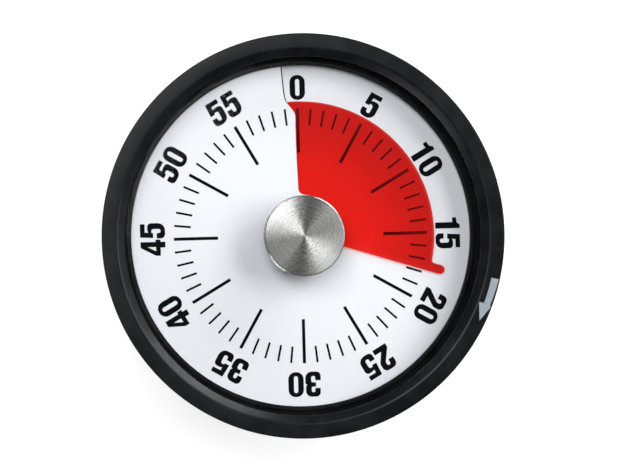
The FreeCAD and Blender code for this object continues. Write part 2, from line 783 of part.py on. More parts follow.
def movement_frame():
    """Two plates on three pillars, with the screws that hold frame, housing and dial together."""
    pillar_height = f"({FRONT_PLATE} - {WORKS_BASE})"
    movement_plate("back_plate", BACK_PLATE, "(main_pivot_radius + pivot_fit)", PILLARS)
    movement_plate("front_plate", FRONT_PLATE, "(main_arbor_radius + pivot_fit)", PILLARS + SPACERS)
    bored_posts("pillars", PILLARS, "pillar_radius", WORKS_BASE, pillar_height, SCREW_HOLE_R,
                "(screw_grip + screw_fit)")
    spacer_height = f"({DIAL_BASE} - {FRAME_TOP})"
    bored_posts("dial_spacers", SPACERS, "spacer_radius", FRAME_TOP, spacer_height, SCREW_HOLE_R,
                f"({spacer_height} / 2)")
    screw_set("plate_screws", PILLARS, FRAME_TOP, "(plate_thickness + screw_grip)")
    dial_seat = f"({DIAL_FLOOR_TOP} - screw_head_height - screw_recess)"
    screw_set("dial_screws", SPACERS, dial_seat, f"({dial_seat} - {FRONT_PLATE})")
    rear_seat = f"({PAD_TOP} + {SCREW_SEAT})"
    rear_length = f"({WORKS_BASE} + screw_grip - {rear_seat})"
    screw_set("housing_screws", PILLARS, rear_seat, rear_length, head_up=False)


# ---- going train ---------------------------------------------------------------------------------

ARBOR_LENGTH = f"({FRAME_TOP} - {BACK_PLATE})"
DEDENDUM = 1.2
ADDENDUM = 0.85
HALF_ROOT = 0.70
HALF_TIP = 0.34
CORE_BITE = 0.5
WINDOW_CIRCLE = 0.6
WINDOW_SIZE = 0.22


def add_teeth(body, module, teeth, thickness, height="0"):
    """Straight-flanked teeth round a disc that already reaches the root circle; one lies on +X."""
    pitch_radius = f"{module} * {teeth} / 2"
    foot = f"({pitch_radius} - {module} * {DEDENDUM + CORE_BITE})"
    tip = f"({pitch_radius} + {module} * {ADDENDUM})"
    sketch = add_polygon(flat_sketch(body, "XY_Plane", height), [
        (foot, f"(-{module} * {HALF_ROOT})"),
        (tip, f"(-{module} * {HALF_TIP})"),
        (tip, f"({module} * {HALF_TIP})"),
        (foot, f"({module} * {HALF_ROOT})"),
    ])
    repeat(body, feature(body, "Pad", sketch, Length=thickness), sketch, teeth)


def root_radius(module, teeth):
    """Radius at the foot of the teeth."""
    return f"({module} * {teeth} / 2 - {module} * {DEDENDUM})"


def toothed_wheel(label, module, teeth, thickness, bore, holes=()):
    """Wheel with a bore, round lightening windows and evenly spaced teeth."""
    body = new_body(label)
    root = root_radius(module, teeth)
    blank = add_circle(add_circle(flat_sketch(body, "XY_Plane"), root), bore)
    for index in range(int(number("window_count"))):
        x, y = polar(f"{root} * {WINDOW_CIRCLE}", f"(360 / window_count * ({index} + 0.5))")
        add_circle(blank, f"({root} * {WINDOW_SIZE})", x, y)
    for x, y, radius in holes:
        add_circle(blank, radius, x, y)
    feature(body, "Pad", blank, Length=thickness)
    add_teeth(body, module, teeth, thickness)
    return body


def arbor(label):
    """Body with an arbor between the plates and a thinner pivot at each end."""
    shoulder = "(plate_thickness + pivot_fit)"
    return lathe(label, [
        ("0", "0"),
        ("pivot_radius", "0"),
        ("pivot_radius", shoulder),
        ("arbor_radius", shoulder),
        ("arbor_radius", f"({ARBOR_LENGTH} - {shoulder})"),
        ("pivot_radius", f"({ARBOR_LENGTH} - {shoulder})"),
        ("pivot_radius", ARBOR_LENGTH),
        ("0", ARBOR_LENGTH),
    ])


def arbor_pinion(label, module, teeth, level, driver_thickness, at, direction):
    """Arbor with its pinion; a gap between teeth faces back towards the wheel that drives it."""
    body = arbor(label)
    base = f"({level} - {BACK_PLATE} - pinion_overlap)"
    length = f"({driver_thickness} + 2 * pinion_overlap)"
    core = add_circle(flat_sketch(body, "XY_Plane", base), root_radius(module, teeth))
    feature(body, "Pad", core, Length=length)
    add_teeth(body, module, teeth, length, base)
    node(body, label, x=at[0], y=at[1], z=BACK_PLATE, turn=f"({direction} + 180 + 180 / {teeth})")


def saw_wheel(label, radius, tooth, teeth, thickness, bore):
    """Wheel with saw teeth: radial on one side, sloping on the other."""
    body = new_body(label)
    root = f"({radius} - {tooth})"
    blank = add_circle(add_circle(flat_sketch(body, "XY_Plane"), root), bore)
    feature(body, "Pad", blank, Length=thickness)
    sketch = add_polygon(flat_sketch(body, "XY_Plane"), [
        (f"({root} - {tooth} / 2)", "0"),
        (radius, "0"),
        polar(root, f"(360 / {teeth})"),
        polar(f"({root} - {tooth} / 2)", f"(360 / {teeth})"),
    ])
    repeat(body, feature(body, "Pad", sketch, Length=thickness), sketch, teeth)
    return body


CLICK_AT = polar("click_circle", "(-click_angle)")


def great_wheel_group():
    """Great wheel, the ratchet on the arbor, and the click that locks one to the other."""
    rivet_hole = "(rivet_radius + pivot_fit)"
    wheel = toothed_wheel("great_wheel", "great_module", "great_teeth", "great_thickness",
                          "(main_arbor_radius + pivot_fit)", [(*polar("click_circle",
                          "(-click_angle - second_direction)"), rivet_hole)])
    node(wheel, "great_wheel", z=GREAT_LEVEL, turn="second_direction")
    ratchet = saw_wheel("ratchet_wheel", "ratchet_radius", "ratchet_tooth", "ratchet_teeth",
                        "wheel_thickness", "(main_arbor_radius + staking_fit)")
    node(ratchet, "ratchet_wheel", z=RATCHET_LEVEL)
    body = new_body("click")
    heel_x, heel_y = CLICK_AT
    pawl = add_polygon(flat_sketch(body, "XY_Plane"), [
        ("(ratchet_radius - ratchet_tooth / 2)", "(-click_nose)"),
        ("(ratchet_radius + click_nose)", "(-click_nose)"),
        (f"({heel_x} + click_half_width)", f"({heel_y} + click_half_width)"),
        (f"({heel_x} - click_half_width)", f"({heel_y} - click_half_width)"),
        ("(ratchet_radius + click_nose)", "(-2 * click_half_width)"),
    ])
    feature(body, "Pad", pawl, Length="wheel_thickness")
    heel = add_circle(flat_sketch(body, "XY_Plane"), "(2 * rivet_radius)", heel_x, heel_y)
    feature(body, "Pad", heel, Length="wheel_thickness")
    drill(body, rivet_hole, "wheel_thickness", [CLICK_AT])
    node(body, "click", z=RATCHET_LEVEL)
    length = "(great_thickness + ratchet_gap + wheel_thickness)"
    node(rod("click_rivet", "rivet_radius", length, x=heel_x, y=heel_y, z=GREAT_LEVEL), "click_rivet")


def going_train():
    """Three meshed pairs from the great wheel up to the escape wheel."""
    seat = "(arbor_radius + staking_fit)"
    arbor_pinion("second_pinion", "great_module", "second_pinion_teeth", GREAT_LEVEL, "great_thickness",
                 SECOND_AT, "second_direction")
    wheel = toothed_wheel("second_wheel", "second_module", "second_teeth", "wheel_thickness", seat)
    node(wheel, "second_wheel", x=SECOND_AT[0], y=SECOND_AT[1], z=SECOND_LEVEL, turn="third_direction")
    arbor_pinion("third_pinion", "second_module", "third_pinion_teeth", SECOND_LEVEL, "wheel_thickness",
                 THIRD_AT, "third_direction")
    wheel = toothed_wheel("third_wheel", "third_module", "third_teeth", "wheel_thickness", seat)
    node(wheel, "third_wheel", x=THIRD_AT[0], y=THIRD_AT[1], z=THIRD_LEVEL, turn="escape_direction")
    arbor_pinion("escape_pinion", "third_module", "escape_pinion_teeth", THIRD_LEVEL, "wheel_thickness",
                 ESCAPE_AT, "escape_direction")
    wheel = saw_wheel("escape_wheel", "escape_radius", "escape_tooth", "escape_teeth",
                      "wheel_thickness", seat)
    node(wheel, "escape_wheel", x=ESCAPE_AT[0], y=ESCAPE_AT[1], z=ESCAPE_LEVEL)


# ---- escapement ----------------------------------------------------------------------------------


def escapement():
    """Pallet anchor with two pins just clear of the escape wheel, and its balance bar."""
    reach = "(escape_radius + pallet_pin_radius + pallet_pin_gap)"
    pin_x, pin_y = polar(reach, "pallet_half_angle")
    pin_x = f"({pin_x} - anchor_distance)"
    plate_base = f"({ESCAPE_LEVEL} + wheel_thickness + anchor_lift)"
    body = arbor("pallet_anchor")
    plate = add_polygon(flat_sketch(body, "XY_Plane", f"({plate_base} - {BACK_PLATE})"), [
        ("anchor_hub_half", "(-anchor_hub_half)"),
        ("anchor_hub_half", "anchor_hub_half"),
        (pin_x, f"({pin_y} + anchor_arm_half)"),
        (f"({pin_x} - anchor_arm_half)", pin_y),
        ("(-anchor_hub_half)", "0"),
        (f"({pin_x} - anchor_arm_half)", f"(-{pin_y})"),
        (pin_x, f"(-{pin_y} - anchor_arm_half)"),
    ])
    feature(body, "Pad", plate, Length="wheel_thickness")
    node(body, "pallet_anchor", x=ANCHOR_AT[0], y=ANCHOR_AT[1], z=BACK_PLATE, turn="anchor_direction")
    pins = []
    for side in ("+", "-"):
        direction = f"(anchor_direction {side} pallet_half_angle)"
        x, y = step_from(ESCAPE_AT, reach, direction)
        base = f"({ESCAPE_LEVEL} - pivot_fit)"
        pins.append(rod("pallet_pin", "pallet_pin_radius", f"({plate_base} - {base})", x=x, y=y, z=base))
    node(group("pallet_pins", pins), "pallet_pins")
    bar = new_body("balance_bar")
    outline = add_polygon(flat_sketch(bar, "XY_Plane"), [
        ("(-balance_width / 2)", "(-balance_length / 2)"),
        ("(balance_width / 2)", "(-balance_length / 2)"),
        ("(balance_width / 2)", "(balance_length / 2)"),
        ("(-balance_width / 2)", "(balance_length / 2)"),
    ])
    add_circle(outline, "(arbor_radius + staking_fit)")
    feature(bar, "Pad", outline, Length="wheel_thickness")
    node(bar, "balance_bar", x=ANCHOR_AT[0], y=ANCHOR_AT[1], z=SECOND_LEVEL, turn="anchor_direction")


# ---- mainspring ----------------------------------------------------------------------------------


def mainspring():
    """Flat spiral strip coiled round the arbor, and the post its outer end hooks on."""
    core, strip, gap, turns = (number(name) for name in (
        "spring_core_radius + spring_core_gap", "spring_strip", "spring_coil_gap", "spring_turns"))
    base = f"({WORKS_BASE} + spring_end_gap)"
    width = number(f"{SECOND_LEVEL} - spring_end_gap - {base}")
    spring = shaped("mainspring", spiral_strip(core, strip, gap, turns, width), base)
    spring.setExpression("Placement.Rotation.Angle", named("spring_direction"))
    node(spring, "mainspring")
    coiled = "spring_turns * (spring_strip + spring_coil_gap)"
    last = f"(spring_core_radius + spring_core_gap + spring_strip + {coiled})"
    x, y = polar(f"{last} + pivot_fit + spring_post_radius", "spring_direction")
    post = rod("spring_post", "spring_post_radius", f"({SECOND_LEVEL} - spring_end_gap / 2 - {WORKS_BASE})",
               x=x, y=y, z=WORKS_BASE)
    node(post, "spring_post")


def check_document():
    """Stop if any object failed or any sub-part is empty or invalid."""
    doc.recompute()
    for item in doc.Objects:
        if "Invalid" in item.State or "Error" in item.State:
            raise RuntimeError(f"{item.Label}: {item.State}")
    for item in nodes:
        if item.Shape.isNull() or not item.Shape.isValid() or not item.Shape.Solids:
            raise RuntimeError(f"{item.Label}: no valid solid")


bezel_ring()
lens()
knob_cap()
hub()
hub_fixing()
main_arbor()
bell_cam()
dial_sheet()
time_disc()
dial_plate()
dial_rests()
rear_housing()
housing_trim()
bell_group()
hammer_group()
movement_frame()
great_wheel_group()
going_train()
escapement()
mainspring()
check_document()

os.makedirs("parts", exist_ok=True)
for item in nodes:
    item.Shape.exportStep(f"parts/{item.Label}.step")
    box = item.Shape.BoundBox
    print(f"{item.Label:18s} {len(item.Shape.Solids)} solids  z {box.ZMin:7.2f} to {box.ZMax:7.2f}")
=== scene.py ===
import json
import logging
import math
from collections.abc import Sequence
from dataclasses import dataclass, field
from enum import Enum

import bmesh
import bpy
from mathutils import Matrix, Vector
from mathutils.geometry import tessellate_polygon


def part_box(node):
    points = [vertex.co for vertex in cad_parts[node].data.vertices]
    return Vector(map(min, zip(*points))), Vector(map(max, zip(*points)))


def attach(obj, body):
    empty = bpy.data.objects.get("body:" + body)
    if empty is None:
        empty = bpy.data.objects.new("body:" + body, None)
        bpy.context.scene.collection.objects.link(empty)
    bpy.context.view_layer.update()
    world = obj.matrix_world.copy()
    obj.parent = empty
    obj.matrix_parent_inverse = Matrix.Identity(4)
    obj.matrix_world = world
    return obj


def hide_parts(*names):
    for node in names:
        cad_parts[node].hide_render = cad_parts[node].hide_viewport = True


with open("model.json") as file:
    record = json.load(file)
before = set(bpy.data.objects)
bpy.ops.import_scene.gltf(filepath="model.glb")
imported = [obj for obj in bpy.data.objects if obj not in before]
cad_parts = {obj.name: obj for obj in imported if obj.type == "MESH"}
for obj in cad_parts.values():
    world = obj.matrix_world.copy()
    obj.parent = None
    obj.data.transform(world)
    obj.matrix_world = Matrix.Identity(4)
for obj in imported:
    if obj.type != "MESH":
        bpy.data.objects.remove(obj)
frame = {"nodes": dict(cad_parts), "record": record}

# A sixty-minute kitchen timer lying on its back. Sizes are in millimetres until a mesh is made; a
# clock angle is in degrees clockwise from the 0 mark, which is at +Y, seen from the front at +Z.

log = logging.getLogger("kitchen_timer")

MM = 0.001
Point = tuple[float, float]
Corner = tuple[float, float, float]
Colour = tuple[float, float, float]
Piece = bpy.types.Object
Finish = bpy.types.Material
Socket = bpy.types.NodeSocket
Value = "Wire | Socket | float | tuple | str | Finish"
FULL_TURN = 360.0


class Slot(Enum):
    """Material slots of the timer's record."""

    BLACK_PLASTIC = "black_plastic"
    CLEAR_WINDOW = "clear_window"
    BRUSHED_CAP = "brushed_cap"
    WHITE_DIAL = "white_dial"
    RED_FILM = "red_film"
    HUB_PLASTIC = "hub_plastic"
    RUBBER_PAD = "rubber_pad"
    MAGNET = "magnet"
    BRASS = "brass"
    STEEL = "steel"
    SPRING_STEEL = "spring_steel"
    BELL_STEEL = "bell_steel"
    SCREWS = "screws"


class Lay(Enum):
    """Direction of a metal's tool marks."""

    TURNED = "turned"
    DRAWN = "drawn"
    CAST = "cast"


# ---- outlines and meshes ----


def rounded(corners: Sequence[Corner], steps: int = 6) -> list[Point]:
    """Round the corners of a closed outline.

    Args:
        corners: x, y and radius of each corner, in order.
        steps: chords in each rounded corner.

    Returns:
        Points round the outline.
    """
    points: list[Point] = []
    for index, (x, y, radius) in enumerate(corners):
        here = Vector((x, y))
        back = Vector(corners[index - 1][:2]) - here
        ahead = Vector(corners[(index + 1) % len(corners)][:2]) - here
        if radius <= 0:
            points.append((x, y))
            continue
        half = back.angle(ahead) / 2
        reach = min(radius / math.tan(half), back.length / 2, ahead.length / 2)
        centre = here + (back.normalized() + ahead.normalized()).normalized() * reach / math.cos(half)
        start = here + back.normalized() * reach - centre
        sweep = start.angle_signed(here + ahead.normalized() * reach - centre)
        for step in range(steps + 1):
            turned_by = start.copy()
            turned_by.rotate(Matrix.Rotation(-sweep * step / steps, 2))
            points.append(tuple(centre + turned_by))
    return points


def spread(points: Sequence[Point], amount: float) -> list[Point]:
    """Grow a closed outline evenly.

    Args:
        points: points round the outline.
        amount: how far its edge moves out, or in where it is negative.

    Returns:
        Points round the grown outline.
    """
    following = [*points[1:], points[0]]
    area = sum(x * after_y - after_x * y for (x, y), (after_x, after_y) in zip(points, following))
    side = math.copysign(amount, area)
    grown = []
    for index, here in enumerate(points):
        back = (Vector(here) - Vector(points[index - 1])).normalized()
        ahead = (Vector(following[index]) - Vector(here)).normalized()
        normal = Vector((back.y + ahead.y, -back.x - ahead.x))
        grown.append(tuple(Vector(here) + normal.normalized() * side / max(0.5, normal.length / 2)))
    return grown


def new_object(name: str, vertices: Sequence[Sequence[float]], faces: Sequence[Sequence[int]]) -> Piece:
    """Make an object from vertices in millimetres.

    Args:
        name: name of the object and of its mesh.
        vertices: positions in millimetres.
        faces: vertex numbers of each face.

    Returns:
        The object, in the scene.
    """
    mesh = bpy.data.meshes.new(name)
    mesh.from_pydata([tuple(MM * value for value in vertex) for vertex in vertices], [], faces)
    made = bpy.data.objects.new(name, mesh)
    bpy.context.scene.collection.objects.link(made)
    return made


def shade(made: Piece, sharp_angle: float = 32.0) -> Piece:
    """Smooth an object's shading up to an angle.

    Args:
        made: the object.
        sharp_angle: edges sharper than this many degrees stay crisp.

    Returns:
        The same object.
    """
    made.data.shade_smooth()
    made.data.set_sharp_from_angle(angle=math.radians(sharp_angle))
    return made


def turned(name: str, outline: Sequence[Point], segments: int = 240) -> Piece:
    """Turn a closed outline about Z into a solid.

    Args:
        name: name of the piece.
        outline: radius and height of each point, in order.
        segments: facets round the axis.

    Returns:
        The solid, with its normals pointing out.
    """
    vertices: list[Sequence[float]] = []
    rows: list[list[int]] = []
    for radius, height in outline:
        on_axis = radius < 1e-6
        count = 1 if on_axis else segments
        rows.append([len(vertices) + index for index in range(count)] * (segments if on_axis else 1))
        for index in range(count):
            angle = 2 * math.pi * index / segments
            vertices.append((radius * math.cos(angle), radius * math.sin(angle), height))
    faces = []
    for low, high in zip(rows, rows[1:] + rows[:1]):
        for index in range(segments):
            after = (index + 1) % segments
            corners = list(dict.fromkeys((low[index], low[after], high[after], high[index])))
            if len(corners) > 2:
                faces.append(corners)
    made = new_object(name, vertices, faces)
    shell = bmesh.new()
    shell.from_mesh(made.data)
    bmesh.ops.recalc_face_normals(shell, faces=shell.faces)
    shell.to_mesh(made.data)
    shell.free()
    return shade(made)


def at_clock(radius: float, clock: float) -> Point:
    """Point at a radius and a clock angle in degrees."""
    return radius * math.sin(math.radians(clock)), radius * math.cos(math.radians(clock))


class FlatSheet:
    """Flat outline mesh whose points each keep the clock angle that sets their height."""

    def __init__(self) -> None:
        """Start with no points."""
        self.points: list[tuple[float, float, float]] = []
        self.clocks: list[float] = []
        self.faces: list[list[int]] = []

    def point(self, x: float, y: float, clock: float) -> int:
        """Add a point.

        Args:
            x: position to the right, in millimetres.
            y: position towards the 0 mark, in millimetres.
            clock: clock angle, which may pass a full turn.

        Returns:
            The point's number.
        """
        self.points.append((x, y, 0.0))
        self.clocks.append(clock)
        return len(self.points) - 1

    def polar(self, radius: float, clock: float) -> int:
        """Add a point at a radius and a clock angle, and return its number."""
        return self.point(*at_clock(radius, clock), clock)

    def face(self, *corners: int) -> None:
        """Add a face that looks up.

        Args:
            corners: its point numbers, in order either way round.
        """
        first, second, third = (Vector(self.points[corner]) for corner in corners[:3])
        upward = (second - first).cross(third - first).z > 0
        self.faces.append(list(corners) if upward else list(reversed(corners)))

    def grid(self, rows: Sequence[Sequence[int]]) -> None:
        """Fill between rows of points with faces.

        Args:
            rows: point numbers of each row.
        """
        for low, high in zip(rows, rows[1:]):
            for index in range(min(len(low), len(high)) - 1):
                self.face(low[index], low[index + 1], high[index + 1], high[index])

    def fan(self, hub: int, rim: Sequence[int]) -> None:
        """Fill between one point and a row of points with triangles."""
        for here, after in zip(rim, rim[1:]):
            self.face(hub, here, after)

    def build(self, name: str) -> Piece:
        """Make the flat object, with its clock attribute.

        Args:
            name: name of the piece.

        Returns:
            The flat object.
        """
        made = new_object(name, self.points, self.faces)
        held = made.data.attributes.new("clock", "FLOAT", "POINT")
        held.data.foreach_set("value", self.clocks)
        return made


# ---- node trees ----


class Tree:
    """Adds nodes to a node tree."""

    def __init__(self, tree: bpy.types.NodeTree) -> None:
        """Work on a tree."""
        self.tree = tree

    def add(self, kind: str, values: dict | None = None, **settings: Value) -> bpy.types.Node:
        """Add a node.

        Args:
            kind: the node's type.
            values: a value, a socket or a wire for each named or numbered input.
            settings: properties of the node, set before its sockets.

        Returns:
            The node.
        """
        node = self.tree.nodes.new(kind)
        for name, setting in settings.items():
            setattr(node, name, setting)
        for key, value in (values or {}).items():
            source = value.socket if isinstance(value, Wire) else value
            if isinstance(source, Socket):
                self.tree.links.new(source, node.inputs[key])
            elif isinstance(source, tuple) and len(source) == 3 and node.inputs[key].type == "RGBA":
                node.inputs[key].default_value = (*source, 1.0)
            else:
                node.inputs[key].default_value = source
        return node

    def wire(self, source: Socket) -> "Wire":
        """Wrap a socket of numbers for arithmetic."""
        return Wire(self, source)

    def mix(self, share: Value, first: Value, second: Value) -> Socket:
        """Blend two colours, from the first at a share of 0 to the second at 1."""
        node = self.add("ShaderNodeMix", {0: share, 6: first, 7: second}, data_type="RGBA")
        return node.outputs[2]


class Wire:
    """A socket of numbers that takes part in Python arithmetic."""

    def __init__(self, owner: Tree, socket: Socket) -> None:
        """Wrap a socket of a tree."""
        self.owner = owner
        self.socket = socket

    def math(self, operation: str, *values: Value) -> "Wire":
        """Add a Math node and return its result."""
        node = self.owner.add("ShaderNodeMath", dict(enumerate(values)), operation=operation)
        return Wire(self.owner, node.outputs[0])

    def __add__(self, other: Value) -> "Wire":
        """Sum."""
        return self.math("ADD", self, other)

    def __radd__(self, other: Value) -> "Wire":
        """Sum, reflected."""
        return self.math("ADD", other, self)

    def __sub__(self, other: Value) -> "Wire":
        """Difference."""
        return self.math("SUBTRACT", self, other)

    def __rsub__(self, other: Value) -> "Wire":
        """Difference, reflected."""
        return self.math("SUBTRACT", other, self)

    def __mul__(self, other: Value) -> "Wire":
        """Product."""
        return self.math("MULTIPLY", self, other)

    def __rmul__(self, other: Value) -> "Wire":
        """Product, reflected."""
        return self.math("MULTIPLY", other, self)

    def __truediv__(self, other: Value) -> "Wire":
        """Quotient."""
        return self.math("DIVIDE", self, other)

    def __rtruediv__(self, other: Value) -> "Wire":
        """Quotient, reflected."""
        return self.math("DIVIDE", other, self)

    def __pow__(self, other: Value) -> "Wire":
        """Power."""
        return self.math("POWER", self, other)

    def rise(self, low: float, high: float) -> "Wire":
        """Smooth step from 0 at low to 1 at high."""
        node = self.owner.add(
            "ShaderNodeMapRange", {0: self, 1: low, 2: high}, interpolation_type="SMOOTHSTEP")
        return Wire(self.owner, node.outputs[0])


class GrowTree(Tree):
    """Geometry Nodes tree with named inputs, which ends in Realize Instances and Set Material."""

    def __init__(self, name: str, inputs: dict[str, str]) -> None:
        """Make the tree.

        Args:
            name: name of the tree.
            inputs: socket type of each named input; the geometry and the material are added.
        """
        super().__init__(bpy.data.node_groups.new(name, "GeometryNodeTree"))
        face = self.tree.interface
        face.new_socket("Geometry", in_out="OUTPUT", socket_type="NodeSocketGeometry")
        for label, kind in {"Geometry": "Geometry", **inputs, "Material": "Material"}.items():
            face.new_socket(label, in_out="INPUT", socket_type=f"NodeSocket{kind}")
        self.source = self.add("NodeGroupInput").outputs

    def size(self, label: str) -> Wire:
        """One of the tree's own inputs, as a number."""
        return self.wire(self.source[label])

    def vector(self, x: Value, y: Value, z: Value) -> Socket:
        """Join three numbers into a vector."""
        return self.add("ShaderNodeCombineXYZ", {0: x, 1: y, 2: z}).outputs[0]

    def close(self, geometry: Socket) -> "GrowTree":
        """End the tree.

        Args:
            geometry: the geometry to give out.

        Returns:
            The tree itself.
        """
        real = self.add("GeometryNodeRealizeInstances", {0: geometry})
        dressed = self.add("GeometryNodeSetMaterial", {
            "Geometry": real.outputs[0], "Material": self.source["Material"]})
        self.add("NodeGroupOutput", {0: dressed.outputs[0]})
        return self

    def grow(self, made: Piece, values: dict[str, Value]) -> Piece:
        """Run the tree on an object and keep the result as its plain mesh.

        Args:
            made: the object to grow.
            values: a value for each of the tree's inputs.

        Returns:
            The same object.
        """
        modifier = made.modifiers.new(self.tree.name, "NODES")
        modifier.node_group = self.tree
        for item in self.tree.interface.items_tree:
            if item.in_out == "INPUT" and item.name in values:
                modifier[item.identifier] = values[item.name]
        graph = bpy.context.evaluated_depsgraph_get()
        mesh = bpy.data.meshes.new_from_object(made.evaluated_get(graph), depsgraph=graph)
        mesh.name = made.name
        made.modifiers.remove(modifier)
        made.data = mesh
        return made


def wound_sheet() -> GrowTree:
    """Make the tree that lifts a flat outline onto a rising helix and gives it a thickness.

    Returns:
        The tree.
    """
    tree = GrowTree("Wound Sheet", {"Pitch": "Float", "Base Height": "Float", "Thickness": "Float"})
    held = tree.add("GeometryNodeInputNamedAttribute", {"Name": "clock"}, data_type="FLOAT")
    clock = tree.wire(held.outputs[0])
    height = tree.size("Base Height") + tree.size("Pitch") * clock / FULL_TURN
    lifted = tree.add("GeometryNodeSetPosition", {
        "Geometry": tree.source["Geometry"], "Offset": tree.vector(0.0, 0.0, height)}).outputs[0]
    top = tree.add("GeometryNodeExtrudeMesh", {
        "Mesh": lifted, "Offset": (0.0, 0.0, 1.0), "Offset Scale": tree.size("Thickness"),
        "Individual": False}, mode="FACES").outputs[0]
    bottom = tree.add("GeometryNodeFlipFaces", {"Mesh": lifted}).outputs[0]
    both = tree.add("GeometryNodeJoinGeometry")
    tree.tree.links.new(top, both.inputs[0])
    tree.tree.links.new(bottom, both.inputs[0])
    closed = tree.add("GeometryNodeMergeByDistance", {"Geometry": both.outputs[0], "Distance": 1e-7})
    return tree.close(closed.outputs[0])


def minute_marks() -> GrowTree:
    """Make the tree that prints one bar for each minute, longer at every fifth, on a rising helix.

    Returns:
        The tree.
    """
    tree = GrowTree("Minute Marks", {
        "Count": "Int", "Every": "Int", "Outer Radius": "Float", "Short Length": "Float",
        "Long Length": "Float", "Short Width": "Float", "Long Width": "Float", "Thickness": "Float",
        "Pitch": "Float", "Base Height": "Float", "Seam": "Float"})
    index = tree.wire(tree.add("GeometryNodeInputIndex").outputs[0])
    short = index.math("MINIMUM", index.math("MODULO", index, tree.size("Every")), 1.0)
    long = 1.0 - short
    length = tree.size("Short Length") * short + tree.size("Long Length") * long
    width = tree.size("Short Width") * short + tree.size("Long Width") * long
    angle = index * (2 * math.pi) / tree.size("Count")
    middle = tree.size("Outer Radius") - length / 2.0
    place = tree.vector(angle.math("SINE", angle) * middle, angle.math("COSINE", angle) * middle, 0.0)
    points = tree.add("GeometryNodePoints", {"Count": tree.source["Count"], "Position": place})
    bar = tree.add("GeometryNodeMeshCube", {"Size": (1.0, 1.0, 1.0)})
    turn = tree.add("FunctionNodeEulerToRotation", {0: tree.vector(0.0, 0.0, 0.0 - angle)})
    bars = tree.add("GeometryNodeInstanceOnPoints", {
        "Points": points.outputs[0], "Instance": bar.outputs["Mesh"], "Rotation": turn.outputs[0],
        "Scale": tree.vector(width, length, tree.size("Thickness"))})
    real = tree.add("GeometryNodeRealizeInstances", {0: bars.outputs[0]})
    parts = tree.add("ShaderNodeSeparateXYZ", {0: tree.add("GeometryNodeInputPosition").outputs[0]})
    x, y = tree.wire(parts.outputs[0]), tree.wire(parts.outputs[1])
    clock = x.math("ARCTAN2", x, y) * (180 / math.pi) + tree.size("Seam")
    clock = clock.math("FLOORED_MODULO", clock, FULL_TURN) - tree.size("Seam")
    height = tree.size("Base Height") + tree.size("Thickness") / 2.0 + tree.size("Pitch") * clock / FULL_TURN
    lifted = tree.add("GeometryNodeSetPosition", {
        "Geometry": real.outputs[0], "Offset": tree.vector(0.0, 0.0, height)})
    return tree.close(lifted.outputs[0])


def grip_dots() -> GrowTree:
    """Make the tree that scatters blunt studs over a disc, each a golden angle on from the last.

    Returns:
        The tree.
    """
    tree = GrowTree("Grip Dots", {"Count": "Int", "Outer Radius": "Float", "Stud Radius": "Float",
                                  "Stud Height": "Float"})
    index = tree.wire(tree.add("GeometryNodeInputIndex").outputs[0])
    angle = index * (math.pi * (3 - math.sqrt(5)))
    radius = ((index + 0.5) / tree.size("Count")) ** 0.5 * tree.size("Outer Radius")
    place = tree.vector(angle.math("COSINE", angle) * radius, angle.math("SINE", angle) * radius,
                        tree.size("Stud Height") / 2.0)
    points = tree.add("GeometryNodePoints", {"Count": tree.source["Count"], "Position": place})
    stud = tree.add("GeometryNodeMeshCone", {
        "Vertices": 12, "Radius Top": tree.size("Stud Radius"),
        "Radius Bottom": tree.size("Stud Radius") * 0.7, "Depth": tree.size("Stud Height")})
    centred = tree.add("GeometryNodeTransform", {
        0: stud.outputs["Mesh"], "Translation": tree.vector(0.0, 0.0, tree.size("Stud Height") / -2.0)})
    studs = tree.add("GeometryNodeInstanceOnPoints", {
        "Points": points.outputs[0], "Instance": centred.outputs[0]})
    both = tree.add("GeometryNodeJoinGeometry")
    tree.tree.links.new(tree.source["Geometry"], both.inputs[0])
    tree.tree.links.new(studs.outputs[0], both.inputs[0])
    return tree.close(both.outputs[0])


# ---- finishes ----


